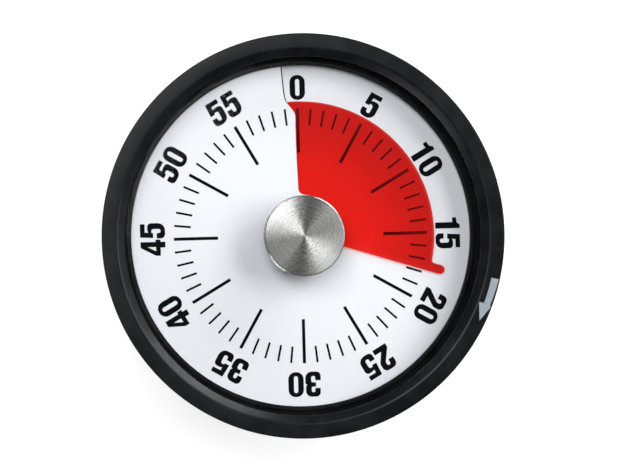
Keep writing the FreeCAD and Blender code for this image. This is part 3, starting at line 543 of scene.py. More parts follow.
class Surface(Tree):
    """Shader tree of one finish, which works in millimetres on the piece."""

    def __init__(self, name: str, constants: dict[str, Value]) -> None:
        """Make the material with a Principled shader.

        Args:
            name: name of the material.
            constants: values of the shader's own sockets.
        """
        self.material = bpy.data.materials.new(name)
        self.material.use_nodes = True
        super().__init__(self.material.node_tree)
        self.tree.nodes.clear()
        self.shader = self.add("ShaderNodeBsdfPrincipled", constants)
        self.output = self.add("ShaderNodeOutputMaterial", {0: self.shader.outputs[0]})
        place = self.add("ShaderNodeTexCoord").outputs["Object"]
        scaled = self.add("ShaderNodeVectorMath", {0: place, 3: 1 / MM}, operation="SCALE")
        self.place = scaled.outputs[0]

    def axes(self) -> tuple[Wire, Wire, Wire]:
        """Position in millimetres, as three numbers."""
        parts = self.add("ShaderNodeSeparateXYZ", {0: self.place}).outputs
        return self.wire(parts[0]), self.wire(parts[1]), self.wire(parts[2])

    def radius(self) -> Wire:
        """Distance from the Z axis in millimetres."""
        x, y, _ = self.axes()
        return (x * x + y * y) ** 0.5

    def noise(self, size: float, detail: float = 2.0, stretch: Colour = (1.0, 1.0, 1.0)) -> Wire:
        """Noise through the solid.

        Args:
            size: size of a blotch in millimetres.
            detail: finer layers added.
            stretch: how much the pattern is squeezed along each axis.

        Returns:
            Noise from 0 to 1.
        """
        spot = self.add("ShaderNodeVectorMath", {0: self.place, 1: stretch}, operation="MULTIPLY")
        node = self.add("ShaderNodeTexNoise", {
            "Vector": spot.outputs[0], "Scale": 1 / size, "Detail": detail, "Roughness": 0.55})
        return self.wire(node.outputs[0])

    def lines(self, along: Wire, size: float, detail: float = 3.0) -> Wire:
        """Noise along one line, such as tool marks across a radius.

        Args:
            along: the distance on which the lines depend, in millimetres.
            size: width of a line in millimetres.
            detail: finer layers added.

        Returns:
            Noise from 0 to 1.
        """
        node = self.add("ShaderNodeTexNoise", {
            "W": along, "Scale": 1 / size, "Detail": detail, "Roughness": 0.6}, noise_dimensions="1D")
        return self.wire(node.outputs[0])

    def arcs(self, size: float, share: float) -> Wire:
        """Noise in arcs round the axis, such as the marks of a brushed disc.

        Args:
            size: width of a mark in millimetres.
            share: how many times the marks break on the way round.

        Returns:
            Noise from 0 to 1.
        """
        x, y, _ = self.axes()
        radius = self.radius() + 0.001
        spot = self.add("ShaderNodeCombineXYZ", {
            0: radius / size, 1: x / radius * share, 2: y / radius * share})
        node = self.add("ShaderNodeTexNoise", {
            "Vector": spot.outputs[0], "Scale": 1.0, "Detail": 3.0, "Roughness": 0.65})
        return self.wire(node.outputs[0])

    def feed(self, socket: str, value: Value) -> None:
        """Join a varying value to one of the shader's sockets."""
        source = value.socket if isinstance(value, Wire) else value
        self.tree.links.new(source, self.shader.inputs[socket])

    def bump(self, height: Wire, depth: float, strength: float = 1.0) -> None:
        """Give the surface a relief.

        Args:
            height: relief from 0 to 1.
            depth: its full depth in millimetres.
            strength: share of the relief that shows.
        """
        node = self.add("ShaderNodeBump", {
            "Height": height, "Distance": depth * MM, "Strength": strength})
        self.feed("Normal", node.outputs[0])

    def see_through(self, tint: Colour, cover: Wire) -> None:
        """Let light through.

        Args:
            tint: colour of the light that passes.
            cover: share of the shader that hides it.
        """
        clear = self.add("ShaderNodeBsdfTransparent", {"Color": tint})
        both = self.add("ShaderNodeMixShader", {
            0: cover, 1: clear.outputs[0], 2: self.shader.outputs[0]})
        self.tree.links.new(both.outputs[0], self.output.inputs[0])


@dataclass(frozen=True)
class MouldedPlastic:
    """Plastic with a fine moulded grain, faint scuffs and a little dust."""

    name: str
    colour: Colour
    roughness: float = 0.45
    grain: float = 0.12
    grain_depth: float = 0.004
    scuff: float = 0.08
    specular: float = 0.4

    def material(self) -> Finish:
        """Make the material.

        Returns:
            The material.
        """
        skin = Surface(self.name, {"Specular IOR Level": self.specular})
        grain = skin.noise(self.grain, 1.0)
        patches = skin.noise(6.0, 3.0).rise(0.35, 0.7)
        scratches = skin.noise(0.5, 2.0, (1.0, 0.06, 1.0)).rise(0.62, 0.7)
        wear = self.scuff * (patches - 0.5) + 0.05 * grain - 0.06 * scratches
        skin.feed("Roughness", self.roughness + wear)
        worn = tuple(min(1.0, channel * 1.5 + 0.004) for channel in self.colour)
        skin.feed("Base Color", skin.mix(patches * 0.5 + scratches * 0.3, self.colour, worn))
        skin.bump(grain, self.grain_depth)
        return skin.material


@dataclass(frozen=True)
class Metal:
    """Metal with tool marks, stains in its polish and, where it is turned, a lay round its axis."""

    name: str
    colour: Colour
    roughness: float
    lay: Lay = Lay.DRAWN
    mark: float = 0.08
    mark_depth: float = 0.002

    def material(self) -> Finish:
        """Make the material.

        Returns:
            The material.
        """
        skin = Surface(self.name, {"Metallic": 1.0})
        if self.lay is Lay.TURNED:
            marks = skin.lines(skin.radius(), self.mark)
        elif self.lay is Lay.DRAWN:
            marks = skin.noise(self.mark, 2.0, (0.05, 1.0, 1.0))
        else:
            marks = skin.noise(self.mark * 4, 4.0)
        stains = skin.noise(3.0, 3.0).rise(0.3, 0.75)
        skin.feed("Roughness", self.roughness + 0.06 * stains + 0.12 * (marks - 0.5))
        dull = tuple(channel * 0.82 for channel in self.colour)
        skin.feed("Base Color", skin.mix(0.35 * stains + 0.5 * marks.rise(0.4, 0.75), self.colour, dull))
        skin.bump(marks, self.mark_depth)
        return skin.material


@dataclass(frozen=True)
class BrushedDisc:
    """Steel disc brushed in rings, whose marks spread light along each radius."""

    name: str = "brushed_cap"
    colour: Colour = (0.50, 0.50, 0.495)
    groove_colour: Colour = (0.17, 0.17, 0.175)
    roughness: float = 0.27
    groove: float = 0.16
    breaks: float = 3.0
    depth: float = 0.004
    anisotropy: float = 0.93

    def material(self) -> Finish:
        """Make the material.

        Returns:
            The material.
        """
        skin = Surface(self.name, {
            "Metallic": 1.0, "Anisotropic": self.anisotropy, "Anisotropic Rotation": 0.25})
        coarse = skin.arcs(self.groove, self.breaks)
        fine = skin.arcs(self.groove * 0.4, self.breaks * 4)
        dark = 0.75 * coarse.rise(0.48, 0.72) + 0.35 * fine.rise(0.45, 0.8)
        skin.feed("Base Color", skin.mix(dark, self.colour, self.groove_colour))
        skin.feed("Roughness", self.roughness + 0.14 * (coarse - 0.5))
        skin.bump(0.6 * coarse + 0.4 * fine, self.depth)
        return skin.material


@dataclass(frozen=True)
class DialStock:
    """Matt white sheet with a faint mottle."""

    name: str = "dial_stock"
    colour: Colour = (0.675, 0.685, 0.715)
    shade: Colour = (0.64, 0.65, 0.68)
    roughness: float = 0.55

    def material(self) -> Finish:
        """Make the material.

        Returns:
            The material.
        """
        skin = Surface(self.name, {"Specular IOR Level": 0.3})
        mottle = skin.noise(1.4, 4.0)
        skin.feed("Base Color", skin.mix(mottle.rise(0.35, 0.75) * 0.5, self.colour, self.shade))
        skin.feed("Roughness", self.roughness + 0.12 * (skin.noise(0.5, 2.0) - 0.5))
        skin.bump(skin.noise(0.2, 2.0), 0.001)
        return skin.material


@dataclass(frozen=True)
class PrintInk:
    """Screen-printed ink, slightly uneven in its gloss."""

    name: str
    colour: Colour
    roughness: float = 0.5

    def material(self) -> Finish:
        """Make the material.

        Returns:
            The material.
        """
        skin = Surface(self.name, {"Specular IOR Level": 0.03})
        patches = skin.noise(0.8, 3.0)
        lighter = tuple(min(1.0, channel * 1.12 + 0.001) for channel in self.colour)
        skin.feed("Base Color", skin.mix(patches.rise(0.4, 0.8), self.colour, lighter))
        skin.feed("Roughness", self.roughness + 0.15 * (patches - 0.5))
        skin.bump(skin.noise(0.1, 1.0), 0.001)
        return skin.material


@dataclass(frozen=True)
class TintedFilm:
    """Clear red film: light that passes each face is tinted, and a little is scattered back; its dark body
    covers more towards its outer edge as painted shade from the rim.
    """

    name: str = "tinted_film"
    tint: Colour = (0.99, 0.36, 0.33)
    colour: Colour = (0.42, 0.010, 0.012)
    body: float = 0.03
    # Painted shade: extra cover of the dark body between these radii stands in for the rim's shadow on the
    # film.
    haze_spread: float = 0.12
    haze_radii: Point = (11.0, 27.0)

    def material(self) -> Finish:
        """Make the material.

        Returns:
            The material.
        """
        skin = Surface(self.name, {"Specular IOR Level": 0.3})
        haze = skin.noise(2.5, 3.0)
        deeper = tuple(0.9 * channel for channel in self.colour)
        skin.feed("Base Color", skin.mix(haze, self.colour, deeper))
        skin.feed("Roughness", 0.35 + 0.1 * (haze - 0.5))
        # Painted shade: the dark body covers more towards the outer edge, in place of the rim's shadow.
        painted_rim_shade = self.haze_spread * skin.radius().rise(*self.haze_radii)
        skin.see_through(self.tint, self.body + painted_rim_shade + 0.05 * (haze - 0.5))
        return skin.material


@dataclass(frozen=True)
class ClearPane:
    """Clear window whose faces mirror a little, more at a slant, with the odd wiping mark."""

    name: str = "clear_pane"
    tint: Colour = (0.985, 0.988, 0.99)
    front_mirror: float = 0.002
    slant_mirror: float = 0.6

    def material(self) -> Finish:
        """Make the material.

        Returns:
            The material.
        """
        skin = Surface(self.name, {"Base Color": (0.95, 0.96, 0.97), "Metallic": 1.0})
        wiped = skin.noise(4.0, 4.0, (1.0, 0.3, 1.0))
        skin.feed("Roughness", 0.03 + 0.05 * wiped.rise(0.55, 0.8))
        slant = skin.wire(skin.add("ShaderNodeLayerWeight", {"Blend": 0.5}).outputs["Facing"])
        skin.see_through(self.tint, self.front_mirror + self.slant_mirror * slant ** 5.0)
        return skin.material


FINISHES: dict[Slot, MouldedPlastic | Metal | BrushedDisc | DialStock | TintedFilm | ClearPane] = {
    Slot.BLACK_PLASTIC: MouldedPlastic("black_moulding", (0.0028, 0.0031, 0.0038), 0.31, specular=0.17),
    Slot.CLEAR_WINDOW: ClearPane(),
    Slot.BRUSHED_CAP: BrushedDisc(),
    Slot.WHITE_DIAL: DialStock(),
    Slot.RED_FILM: TintedFilm(),
    Slot.HUB_PLASTIC: MouldedPlastic("hub_moulding", (0.02, 0.02, 0.021), 0.5),
    Slot.RUBBER_PAD: MouldedPlastic("pad_rubber", (0.018, 0.018, 0.019), 0.75, 0.08, 0.01, 0.05, 0.25),
    Slot.MAGNET: Metal("ferrite", (0.10, 0.10, 0.105), 0.55, Lay.CAST, 0.1, 0.006),
    Slot.BRASS: Metal("clock_brass", (0.72, 0.50, 0.20), 0.30, Lay.DRAWN),
    Slot.STEEL: Metal("bright_steel", (0.56, 0.56, 0.57), 0.28, Lay.DRAWN, 0.05),
    Slot.SPRING_STEEL: Metal("blued_spring", (0.16, 0.18, 0.24), 0.32, Lay.DRAWN, 0.06),
    Slot.BELL_STEEL: Metal("plated_bell", (0.62, 0.61, 0.60), 0.20, Lay.TURNED, 0.12),
    Slot.SCREWS: Metal("zinc_screw", (0.60, 0.60, 0.58), 0.35, Lay.CAST, 0.05),
}


class Bench:
    """Holds the node trees and finishes that pieces are made with, and puts pieces on bodies."""

    def __init__(self) -> None:
        """Make every tree and finish."""
        self.winding, self.marking, self.studding = wound_sheet(), minute_marks(), grip_dots()
        self.finishes = {slot: finish.material() for slot, finish in FINISHES.items()}
        self.ink = PrintInk("black_ink", (0.0022, 0.0022, 0.0035)).material()
        self.silver = PrintInk("silver_ink", (0.225, 0.255, 0.28), 0.4).material()

    def look(self, finish: Slot | Finish) -> Finish:
        """Material of a slot, or the material itself."""
        return self.finishes[finish] if isinstance(finish, Slot) else finish

    def wound(self, flat: FlatSheet, name: str, finish: Slot | Finish, pitch: float, base: float,
              thickness: float) -> Piece:
        """Wind a flat sheet onto a helix and thicken it.

        Args:
            flat: the sheet.
            name: name of the piece.
            finish: a slot of the record, or a material of its own.
            pitch: rise in one turn, in millimetres.
            base: height of its underside at the 0 mark, in millimetres.
            thickness: its thickness in millimetres.

        Returns:
            The wound piece.
        """
        return self.winding.grow(flat.build(name), {
            "Pitch": pitch * MM, "Base Height": base * MM, "Thickness": thickness * MM,
            "Material": self.look(finish)})

    def dress(self, made: Piece, finish: Slot | Finish, body: str, *stands_for: str) -> None:
        """Give a piece its finish, its body and the nodes it stands for.

        Args:
            made: the piece.
            finish: a slot of the record, or a material of its own.
            body: the moving body it rides on.
            stands_for: nodes of the frame that it takes the place of.
        """
        made.data.materials.clear()
        made.data.materials.append(self.look(finish))
        if stands_for:
            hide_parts(*stands_for)
        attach(made, body)
        log.info("%s: %d faces on %s", made.name, len(made.data.polygons), body)


# ---- the timer's pieces ----


@dataclass(frozen=True)
class Extent:
    """Outer radius and lowest and highest point of a round node, in millimetres."""

    radius: float
    low: float
    high: float

    @classmethod
    def of(cls, node: str) -> "Extent":
        """Measure a node of the frame."""
        low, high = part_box(node)
        return cls(high.y / MM, low.z / MM, high.z / MM)


@dataclass
class TurningRim:
    """Outer ring with its setting arrow, the window under its lip, and the steel cap."""

    bench: Bench
    lip_radius: float = 35.5
    mouth_radius: float = 37.0
    skirt_radius: float = 37.6
    lip_depth: float = 2.4
    chamfer_depth: float = 1.1
    foot_taper: float = 1.0
    edge: float = 0.5
    print_rise: float = 0.02
    arrow_clocks: Point = (104.1, 111.9)
    arrow_radii: Corner = (38.2, 39.72, 39.5)
    arrow_wings: tuple[Point, Point] = ((37.2, 112.2), (39.74, 112.5))
    arrow_tip: Point = (38.72, 117.3)
    arrow_steps: int = 8
    window_bore: float = 5.1
    window_edge: float = 0.12
    cap_socket: float = 5.05
    cap_socket_depth: float = 1.0
    cap_edge: float = 0.18
    cap_crown: float = 0.03
    cap_corner: float = 0.12
    rim: Extent = field(default_factory=lambda: Extent.of("bezel_ring"))

    def ring(self) -> Piece:
        """Build the outer ring from its section.

        Returns:
            The ring.
        """
        face = self.rim.high - 1.5 * self.print_rise
        return turned("outer_ring", rounded([
            (self.skirt_radius, self.rim.low, 0.15),
            (self.rim.radius - self.foot_taper, self.rim.low, 0.6),
            (self.rim.radius, self.rim.high - self.edge, 3.0),
            (self.rim.radius, face, self.edge * 0.7),
            (self.mouth_radius, face, 0.9),
            (self.lip_radius, face - self.chamfer_depth, 0.1),
            (self.lip_radius, self.rim.high - self.lip_depth, 0.05),
            (self.skirt_radius, self.rim.high - self.lip_depth, 0.1),
        ], 8), 300)

    def arrow(self) -> Piece:
        """Print the curved setting arrow on the ring's face.

        Returns:
            The arrow.
        """
        flat = FlatSheet()
        (tail_clock, neck_clock), (inner, tail, neck) = self.arrow_clocks, self.arrow_radii
        shares = [step / self.arrow_steps for step in range(self.arrow_steps + 1)]
        clocks = [tail_clock + (neck_clock - tail_clock) * share for share in shares]
        sides = [[flat.polar(inner, clock) for clock in clocks],
                 [flat.polar(tail + (neck - tail) * share, clock) for share, clock in zip(shares, clocks)]]
        flat.grid(sides)
        wings = [flat.polar(*corner) for corner in self.arrow_wings]
        tip = flat.polar(*self.arrow_tip)
        flat.face(wings[0], sides[0][-1], tip)
        flat.face(sides[0][-1], sides[1][-1], tip)
        flat.face(sides[1][-1], wings[1], tip)
        base = self.rim.high - 1.5 * self.print_rise
        return self.bench.wound(flat, "setting_arrow", self.bench.silver, 0.0, base, self.print_rise)

    def window(self) -> Piece:
        """Build the clear pane.

        Returns:
            The pane.
        """
        pane = Extent.of("lens")
        return turned("window_pane", rounded([
            (self.window_bore, pane.low, self.window_edge),
            (pane.radius, pane.low, self.window_edge),
            (pane.radius, pane.high, self.window_edge),
            (self.window_bore, pane.high, self.window_edge),
        ], 3), 180)

    def cap(self) -> Piece:
        """Build the turned cap, slightly crowned, with a bright edge.

        Returns:
            The cap.
        """
        cap = Extent.of("knob_cap")
        return turned("steel_cap", [
            (0.0, cap.high),
            (cap.radius * 0.5, cap.high - self.cap_crown * 0.25),
            *reversed(rounded([
                (self.cap_socket, cap.low, 0.05),
                (cap.radius, cap.low, self.cap_corner),
                (cap.radius, cap.high - self.cap_edge - self.cap_crown, self.cap_corner),
                (cap.radius - self.cap_edge, cap.high - self.cap_crown, self.cap_corner),
                (self.cap_socket, cap.high - self.cap_crown * 0.4, 0.0),
            ], 5)),
            (self.cap_socket, cap.low + self.cap_socket_depth),
            (0.0, cap.low + self.cap_socket_depth),
        ], 200)

    def build(self) -> None:
        """Build and dress every piece of the rim."""
        self.bench.dress(self.ring(), Slot.BLACK_PLASTIC, "rotor", "bezel_ring")
        self.bench.dress(self.arrow(), self.bench.silver, "rotor")
        self.bench.dress(self.window(), Slot.CLEAR_WINDOW, "rotor", "lens")
        self.bench.dress(self.cap(), Slot.BRUSHED_CAP, "rotor", "knob_cap")


# Digits in a heavy narrow cut, in fifths of a millimetre: corners with their rounding, holes last.
DIGITS: dict[str, list[list[Corner]]] = {
    "0": [
        [(0, 0, 7), (15, 0, 7), (15, 24.5, 7), (0, 24.5, 7)],
        [(5.6, 4, 1.9), (9.4, 4, 1.9), (9.4, 20.5, 1.9), (5.6, 20.5, 1.9)],
    ],
    "1": [[(6.2, 0, 0), (12, 0, 0), (12, 24.5, 0), (8.6, 24.5, 0.5), (6.6, 21.6, 2.5), (1.4, 20.9, 0.3),
           (1.4, 17.4, 0), (6.2, 17.4, 0)]],
    "2": [[(0, 15.6, 0.2), (0, 24.7, 7), (14.6, 24.7, 7), (14.6, 15.4, 5), (7.3, 4.9, 0.4), (14.7, 4.9, 0),
           (14.7, 0, 0), (0, 0, 0), (0, 4.2, 1.0), (9.2, 16.4, 2.5), (9.2, 20.8, 2.1), (5.2, 20.8, 2),
           (5.2, 15.6, 0.2)]],
    "3": [[(0.3, 16.5, 0.2), (0.3, 24.6, 7), (14.6, 24.6, 7), (14.6, 13.9, 2.4), (12.6, 12.9, 0.5),
           (15, 11.9, 2.6), (15, 0, 7), (0, 0, 7), (0, 8.3, 0.2), (5.1, 8.3, 0.2), (5.1, 3.9, 2.1),
           (9.6, 3.9, 2.2), (9.6, 10.7, 1.8), (4.8, 10.7, 0.2), (4.8, 14.6, 0.2), (9.2, 14.6, 1.6),
           (9.2, 20.7, 2.1), (5.3, 20.7, 2), (5.3, 16.5, 0.2)]],
    "4": [
        [(0, 4.8, 0), (8.1, 4.8, 0), (8.1, 0, 0), (13.4, 0, 0), (13.4, 4.8, 0), (15.7, 4.8, 0),
         (15.7, 9.3, 0), (13.4, 9.3, 0), (13.4, 24.3, 0), (8, 24.3, 0), (0, 9.2, 0)],
        [(4.7, 9.3, 0), (8.4, 9.3, 0), (8.4, 17, 0)],
    ],
    "5": [[(1.3, 24.5, 0), (14, 24.5, 0), (14, 20.2, 0), (5.7, 20.2, 0), (5.4, 16.2, 0.3), (8, 17.3, 2),
           (14.8, 17.3, 5.5), (14.8, 0, 7), (0, 0, 7), (0, 7.9, 0.2), (5, 7.9, 0.2), (5, 4, 2),
           (9.4, 4, 2.1), (9.4, 13.6, 2.1), (5.2, 13.6, 1.4), (5, 11.9, 0.3), (0.5, 11.9, 0.2)]],
}


@dataclass
class DialFace:
    """White dial wound one turn with its slit, its print, and the ring that frames it."""

    bench: Bench
    pitch: float = 0.9
    sheet_thickness: float = 0.25
    bore: float = 6.6
    tongue_radius: float = 8.2
    tongue_sweep: float = 26.0
    corner: float = 1.2
    lift: float = 0.012
    ink: float = 0.012
    seam: float = 4.5
    slit_width: float = 0.32
    slit_opens: float = 26.2
    slit_blend: float = 0.8
    rings: int = 84
    columns: int = 180
    corner_steps: int = 8
    tongue_steps: int = 10
    mark_radius: float = 25.4
    short_mark: Point = (3.3, 0.42)
    long_mark: Point = (8.8, 0.63)
    digit_unit: float = 0.1995
    digit_foot: float = 27.15
    ink_spread: float = 0.2
    digit_step: float = 17.2
    digit_gap: float = 2.2
    digit_shift: float = 0.4
    frame_radius: float = 33.9
    frame_face: float = 0.95
    frame_step: float = 0.45
    slit: tuple[Point, ...] = (
        (8.0, -2.3), (10.0, -2.03), (15.2, -1.95), (19.3, -1.75), (23.4, -1.37), (24.3, -1.5), (25.4, -2.9),
        (26.5, -4.6), (27.0, -5.25), (27.8, -5.6), (30.5, -5.68), (35.0, -5.45))

    def __post_init__(self) -> None:
        """Measure the sheet's underside and its rim."""
        low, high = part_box("dial_sheet")
        self.rim_radius = high.y / MM
        self.underside = low.z / MM + self.lift
        self.print_base = self.underside + self.sheet_thickness

    def slit_clock(self, radius: float) -> float:
        """Clock angle of the slit at a radius, by a smooth curve through its known points.

        Args:
            radius: distance from the centre in millimetres.

        Returns:
            The clock angle in degrees, just under zero.
        """
        knots = self.slit
        last = len(knots) - 1
        if radius <= knots[0][0]:
            return knots[0][1]
        index = next((i for i in range(1, last + 1) if radius <= knots[i][0]), last)
        slopes = []
        for i in (index - 1, index):
            (r0, a0), (r1, a1) = knots[max(i - 1, 0)], knots[min(i + 1, last)]
            slopes.append((a1 - a0) / (r1 - r0))
        (r0, a0), (r1, a1) = knots[index - 1], knots[index]
        width = r1 - r0
        t = min(1.0, (radius - r0) / width)
        blend = t * t * (3 - 2 * t)
        lean = width * (slopes[0] * t * (1 - t) ** 2 - slopes[1] * t * t * (1 - t))
        return a0 + (a1 - a0) * blend + lean

    def sheet(self) -> Piece:
        """Cut the dial and wind it.

        Returns:
            The dial.
        """
        flat = FlatSheet()
        inner = [self.bore, (self.bore + self.tongue_radius) / 2, self.tongue_radius]
        start = self.tongue_radius + self.corner
        painted_rim_shade = [start + (self.rim_radius - start) * step / self.rings for step in range(self.rings + 1)]
        rows = []
        for radius in inner + painted_rim_shade:
            first = self.slit_clock(radius)
            opened = min(1.0, max(0.0, (radius - self.slit_opens) / self.slit_blend))
            gap = math.degrees(self.slit_width / radius) * opened
            turns = [gap, *(FULL_TURN * step / self.columns for step in range(1, self.columns + 1))]
            rows.append([flat.polar(radius, first + turn) for turn in turns])
        flat.grid(rows)
        lead = math.degrees(self.corner / self.tongue_radius)
        sweeps = [lead + (self.tongue_sweep - lead) * step / self.tongue_steps
                  for step in range(self.tongue_steps + 1)]
        tongue = [[row[-1]] + [flat.polar(radius, self.slit_clock(radius) + FULL_TURN + sweep)
                               for sweep in sweeps] for radius, row in zip(inner, rows)]
        flat.grid(tongue)
        arc = [rows[len(inner)][-1]]
        for step in range(1, self.corner_steps):
            angle = math.pi / 2 * step / self.corner_steps
            radius = start - self.corner * math.sin(angle)
            across = math.degrees(self.corner * (1 - math.cos(angle)) / radius)
            arc.append(flat.polar(radius, self.slit_clock(radius) + FULL_TURN + across))
        arc.append(tongue[2][1])
        flat.fan(rows[2][-1], arc)
        return shade(self.bench.wound(
            flat, "dial_face", Slot.WHITE_DIAL, self.pitch, self.underside, self.sheet_thickness))

    def marks(self) -> Piece:
        """Print the sixty minute marks.

        Returns:
            The marks.
        """
        return self.bench.marking.grow(new_object("minute_marks", [], []), {
            "Count": 60, "Every": 5, "Outer Radius": self.mark_radius * MM,
            "Short Length": self.short_mark[0] * MM, "Long Length": self.long_mark[0] * MM,
            "Short Width": self.short_mark[1] * MM, "Long Width": self.long_mark[1] * MM,
            "Thickness": self.ink * MM, "Pitch": self.pitch * MM, "Base Height": self.print_base * MM,
            "Seam": self.seam, "Material": self.bench.ink})

    def numerals(self) -> Piece:
        """Print the twelve numerals, tops outwards.

        Returns:
            The numerals.
        """
        flat = FlatSheet()
        for minute in range(0, 60, 5):
            label = str(minute)
            start = self.digit_shift - (len(label) * self.digit_step - self.digit_gap) / 2
            for place, digit in enumerate(label):
                self.digit(flat, digit, start + place * self.digit_step, minute * 6.0)
        return self.bench.wound(
            flat, "numerals", self.bench.ink, self.pitch, self.print_base, self.ink)

    def digit(self, flat: FlatSheet, digit: str, shift: float, clock: float) -> None:
        """Add one digit's outline to a flat sheet.

        Args:
            flat: the sheet.
            digit: the digit.
            shift: its left side, in digit units from the numeral's middle line.
            clock: clock angle of that line.
        """
        outward, right = Vector(at_clock(1.0, clock)), Vector(at_clock(1.0, clock + 90))
        loops = []
        for number, contour in enumerate(DIGITS[digit]):
            loop = []
            for x, y in spread(rounded(contour, 5), -self.ink_spread if number else self.ink_spread):
                along, across = self.digit_foot + y * self.digit_unit, (x + shift) * self.digit_unit
                spot = outward * along + right * across
                angle = math.degrees(math.atan2(spot.x, spot.y))
                loop.append(flat.point(spot.x, spot.y, (angle + self.seam) % FULL_TURN - self.seam))
            loops.append(loop)
        numbers = [number for loop in loops for number in loop]
        corners = [[Vector(flat.points[number]) for number in loop] for loop in loops]
        for triangle in tessellate_polygon(corners):
            flat.face(*(numbers[corner] for corner in triangle))

    def frame_ring(self) -> Piece:
        """Build the ring that frames the dial, with a step down outside its face.

        Returns:
            The ring.
        """
        ring = Extent.of("dial_clamp_ring")
        return turned("dial_frame", rounded([
            (self.frame_radius, ring.low, 0.0),
            (ring.radius, ring.low, 0.0),
            (ring.radius, ring.high - self.frame_step, 0.05),
            (self.frame_radius + self.frame_face, ring.high - self.frame_step, 0.05),
            (self.frame_radius + self.frame_face, ring.high, 0.16),
            (self.frame_radius, ring.high, 0.08),
        ], 5), 240)

    def build(self) -> None:
        """Build and dress every piece of the dial."""
        self.bench.dress(self.sheet(), Slot.WHITE_DIAL, "case", "dial_sheet")
        self.bench.dress(self.marks(), self.bench.ink, "case")
        self.bench.dress(self.numerals(), self.bench.ink, "case")
        self.bench.dress(self.frame_ring(), Slot.BLACK_PLASTIC, "case", "dial_clamp_ring")


@dataclass
class TimeFilm:
    """Red film that turns with the rim, rides out through the slit and shows the time left."""

    bench: Bench
    pitch: float = 0.9
    thickness: float = 0.15
    bore: float = 6.2
    radius: float = 26.8
    tip_radius: float = 29.7
    setting: float = 107.5
    edge_offset: float = 0.34
    finger_width: float = 1.8
    fillet: float = 0.5
    underside: float = 26.2625
    rings: int = 10
    columns: int = 240
    fillet_steps: int = 6
    tip_steps: int = 14

    def outline(self) -> FlatSheet:
        """Lay out the film with its pointer.

        Returns:
            The flat film.
        """
        flat = FlatSheet()
        out, back = Vector(at_clock(1.0, self.setting)), Vector(at_clock(1.0, self.setting - 90))

        def spot(behind: float, along: float) -> int:
            """Point behind the leading edge and along it."""
            place = out * along + back * behind
            return flat.point(place.x, place.y, self.setting - math.degrees(math.atan2(behind, along)))

        half = self.finger_width / 2
        widths = [self.edge_offset + width for width in (
            self.finger_width + self.fillet, self.finger_width, half, 0.0)]
        first = self.setting - FULL_TURN
        rows = []
        for step in range(self.rings + 1):
            radius = self.bore + (self.radius - self.bore) * step / self.rings
            turns = [self.setting - math.degrees(math.asin(width / radius)) for width in widths]
            sweep = turns[0] - first
            body = [first + sweep * column / self.columns for column in range(self.columns)]
            rows.append([flat.polar(radius, clock) for clock in body + turns])
        flat.grid(rows)
        edge = rows[-1]
        shoulder = math.sqrt(self.radius ** 2 - widths[1] ** 2)
        root = [edge[-3], edge[-2], edge[-1]]
        bend = [spot(width, shoulder + self.fillet) for width in widths[1:]]
        neck = self.tip_radius - half
        top = [spot(width, neck) for width in widths[1:]]
        flat.grid([root, bend, top])
        arc = [edge[-4]]
        for step in range(1, self.fillet_steps):
            angle = math.pi / 2 * step / self.fillet_steps
            arc.append(spot(widths[0] - self.fillet * math.sin(angle),
                            shoulder + self.fillet * (1 - math.cos(angle))))
        arc.append(bend[0])
        flat.fan(root[0], arc)
        turns = [math.pi * step / self.tip_steps for step in range(1, self.tip_steps)]
        cap = [top[0], *(spot(widths[2] + half * math.cos(turn), neck + half * math.sin(turn))
                         for turn in turns), top[2]]
        flat.fan(top[1], cap)
        return flat

    def build(self) -> None:
        """Build and dress the film."""
        film = self.bench.wound(
            self.outline(), "red_film", Slot.RED_FILM, self.pitch, self.underside, self.thickness)
        self.bench.dress(shade(film), Slot.RED_FILM, "time_disc", "time_disc")


@dataclass
class RearPad:
    """Rubber pad with blunt studs, on which the timer rests."""

    bench: Bench
    stud_height: float = 0.2
    stud_radius: float = 0.75
    stud_count: int = 180
    margin: float = 2.0

    def build(self) -> None:
        """Build and dress the pad."""
        pad = Extent.of("rear_pad")
        foot = pad.low + self.stud_height * 0.8
        disc = turned("grip_pad", rounded([
            (0.0, foot, 0.0), (pad.radius, foot, 0.3), (pad.radius, pad.high, 0.1), (0.0, pad.high, 0.0),
        ], 4), 128)
        self.bench.studding.grow(disc, {
            "Count": self.stud_count, "Outer Radius": (pad.radius - self.margin) * MM,
            "Stud Radius": self.stud_radius * MM, "Stud Height": self.stud_height * MM,
            "Material": self.bench.finishes[Slot.RUBBER_PAD]})
        self.bench.dress(disc, Slot.RUBBER_PAD, "case", "rear_pad")


@dataclass
class Movement:
    """Housing, clockwork and bell, which keep the frame's own meshes."""

    bench: Bench
    record: dict
    nodes: dict[str, Piece]

    def build(self) -> None:
        """Give every node of the frame its finish."""
        for part in self.record["subparts"]:
            slot = Slot(part["material_slot"])
            made = self.nodes[part["node"]]
            made.data.materials.clear()
            made.data.materials.append(self.bench.finishes[slot])
            log.info("%s: finished as %s", made.name, slot.value)


# ---- studio ----


@dataclass(frozen=True)
class SoftBox:
    """Soft light: clock direction, height above the horizon, distance, sides and power."""

    name: str
    clock: float
    elevation: float
    distance: float
    width: float
    height: float
    watts: float

    def build(self, target: Vector) -> None:
        """Hang the light and aim it.

        Args:
            target: the point it shines at.
        """
        data = bpy.data.lights.new(self.name, "AREA")
        data.shape = "RECTANGLE"
        data.size, data.size_y, data.energy = self.width, self.height, self.watts
        lamp = bpy.data.objects.new(self.name, data)
        bpy.context.scene.collection.objects.link(lamp)
        level = math.cos(math.radians(self.elevation))
        x, y = at_clock(level, self.clock)
        away = Vector((x, y, math.sin(math.radians(self.elevation))))
        lamp.location = target + away * self.distance
        lamp.rotation_euler = away.to_track_quat("Z", "Y").to_euler()
        lamp.visible_camera = False


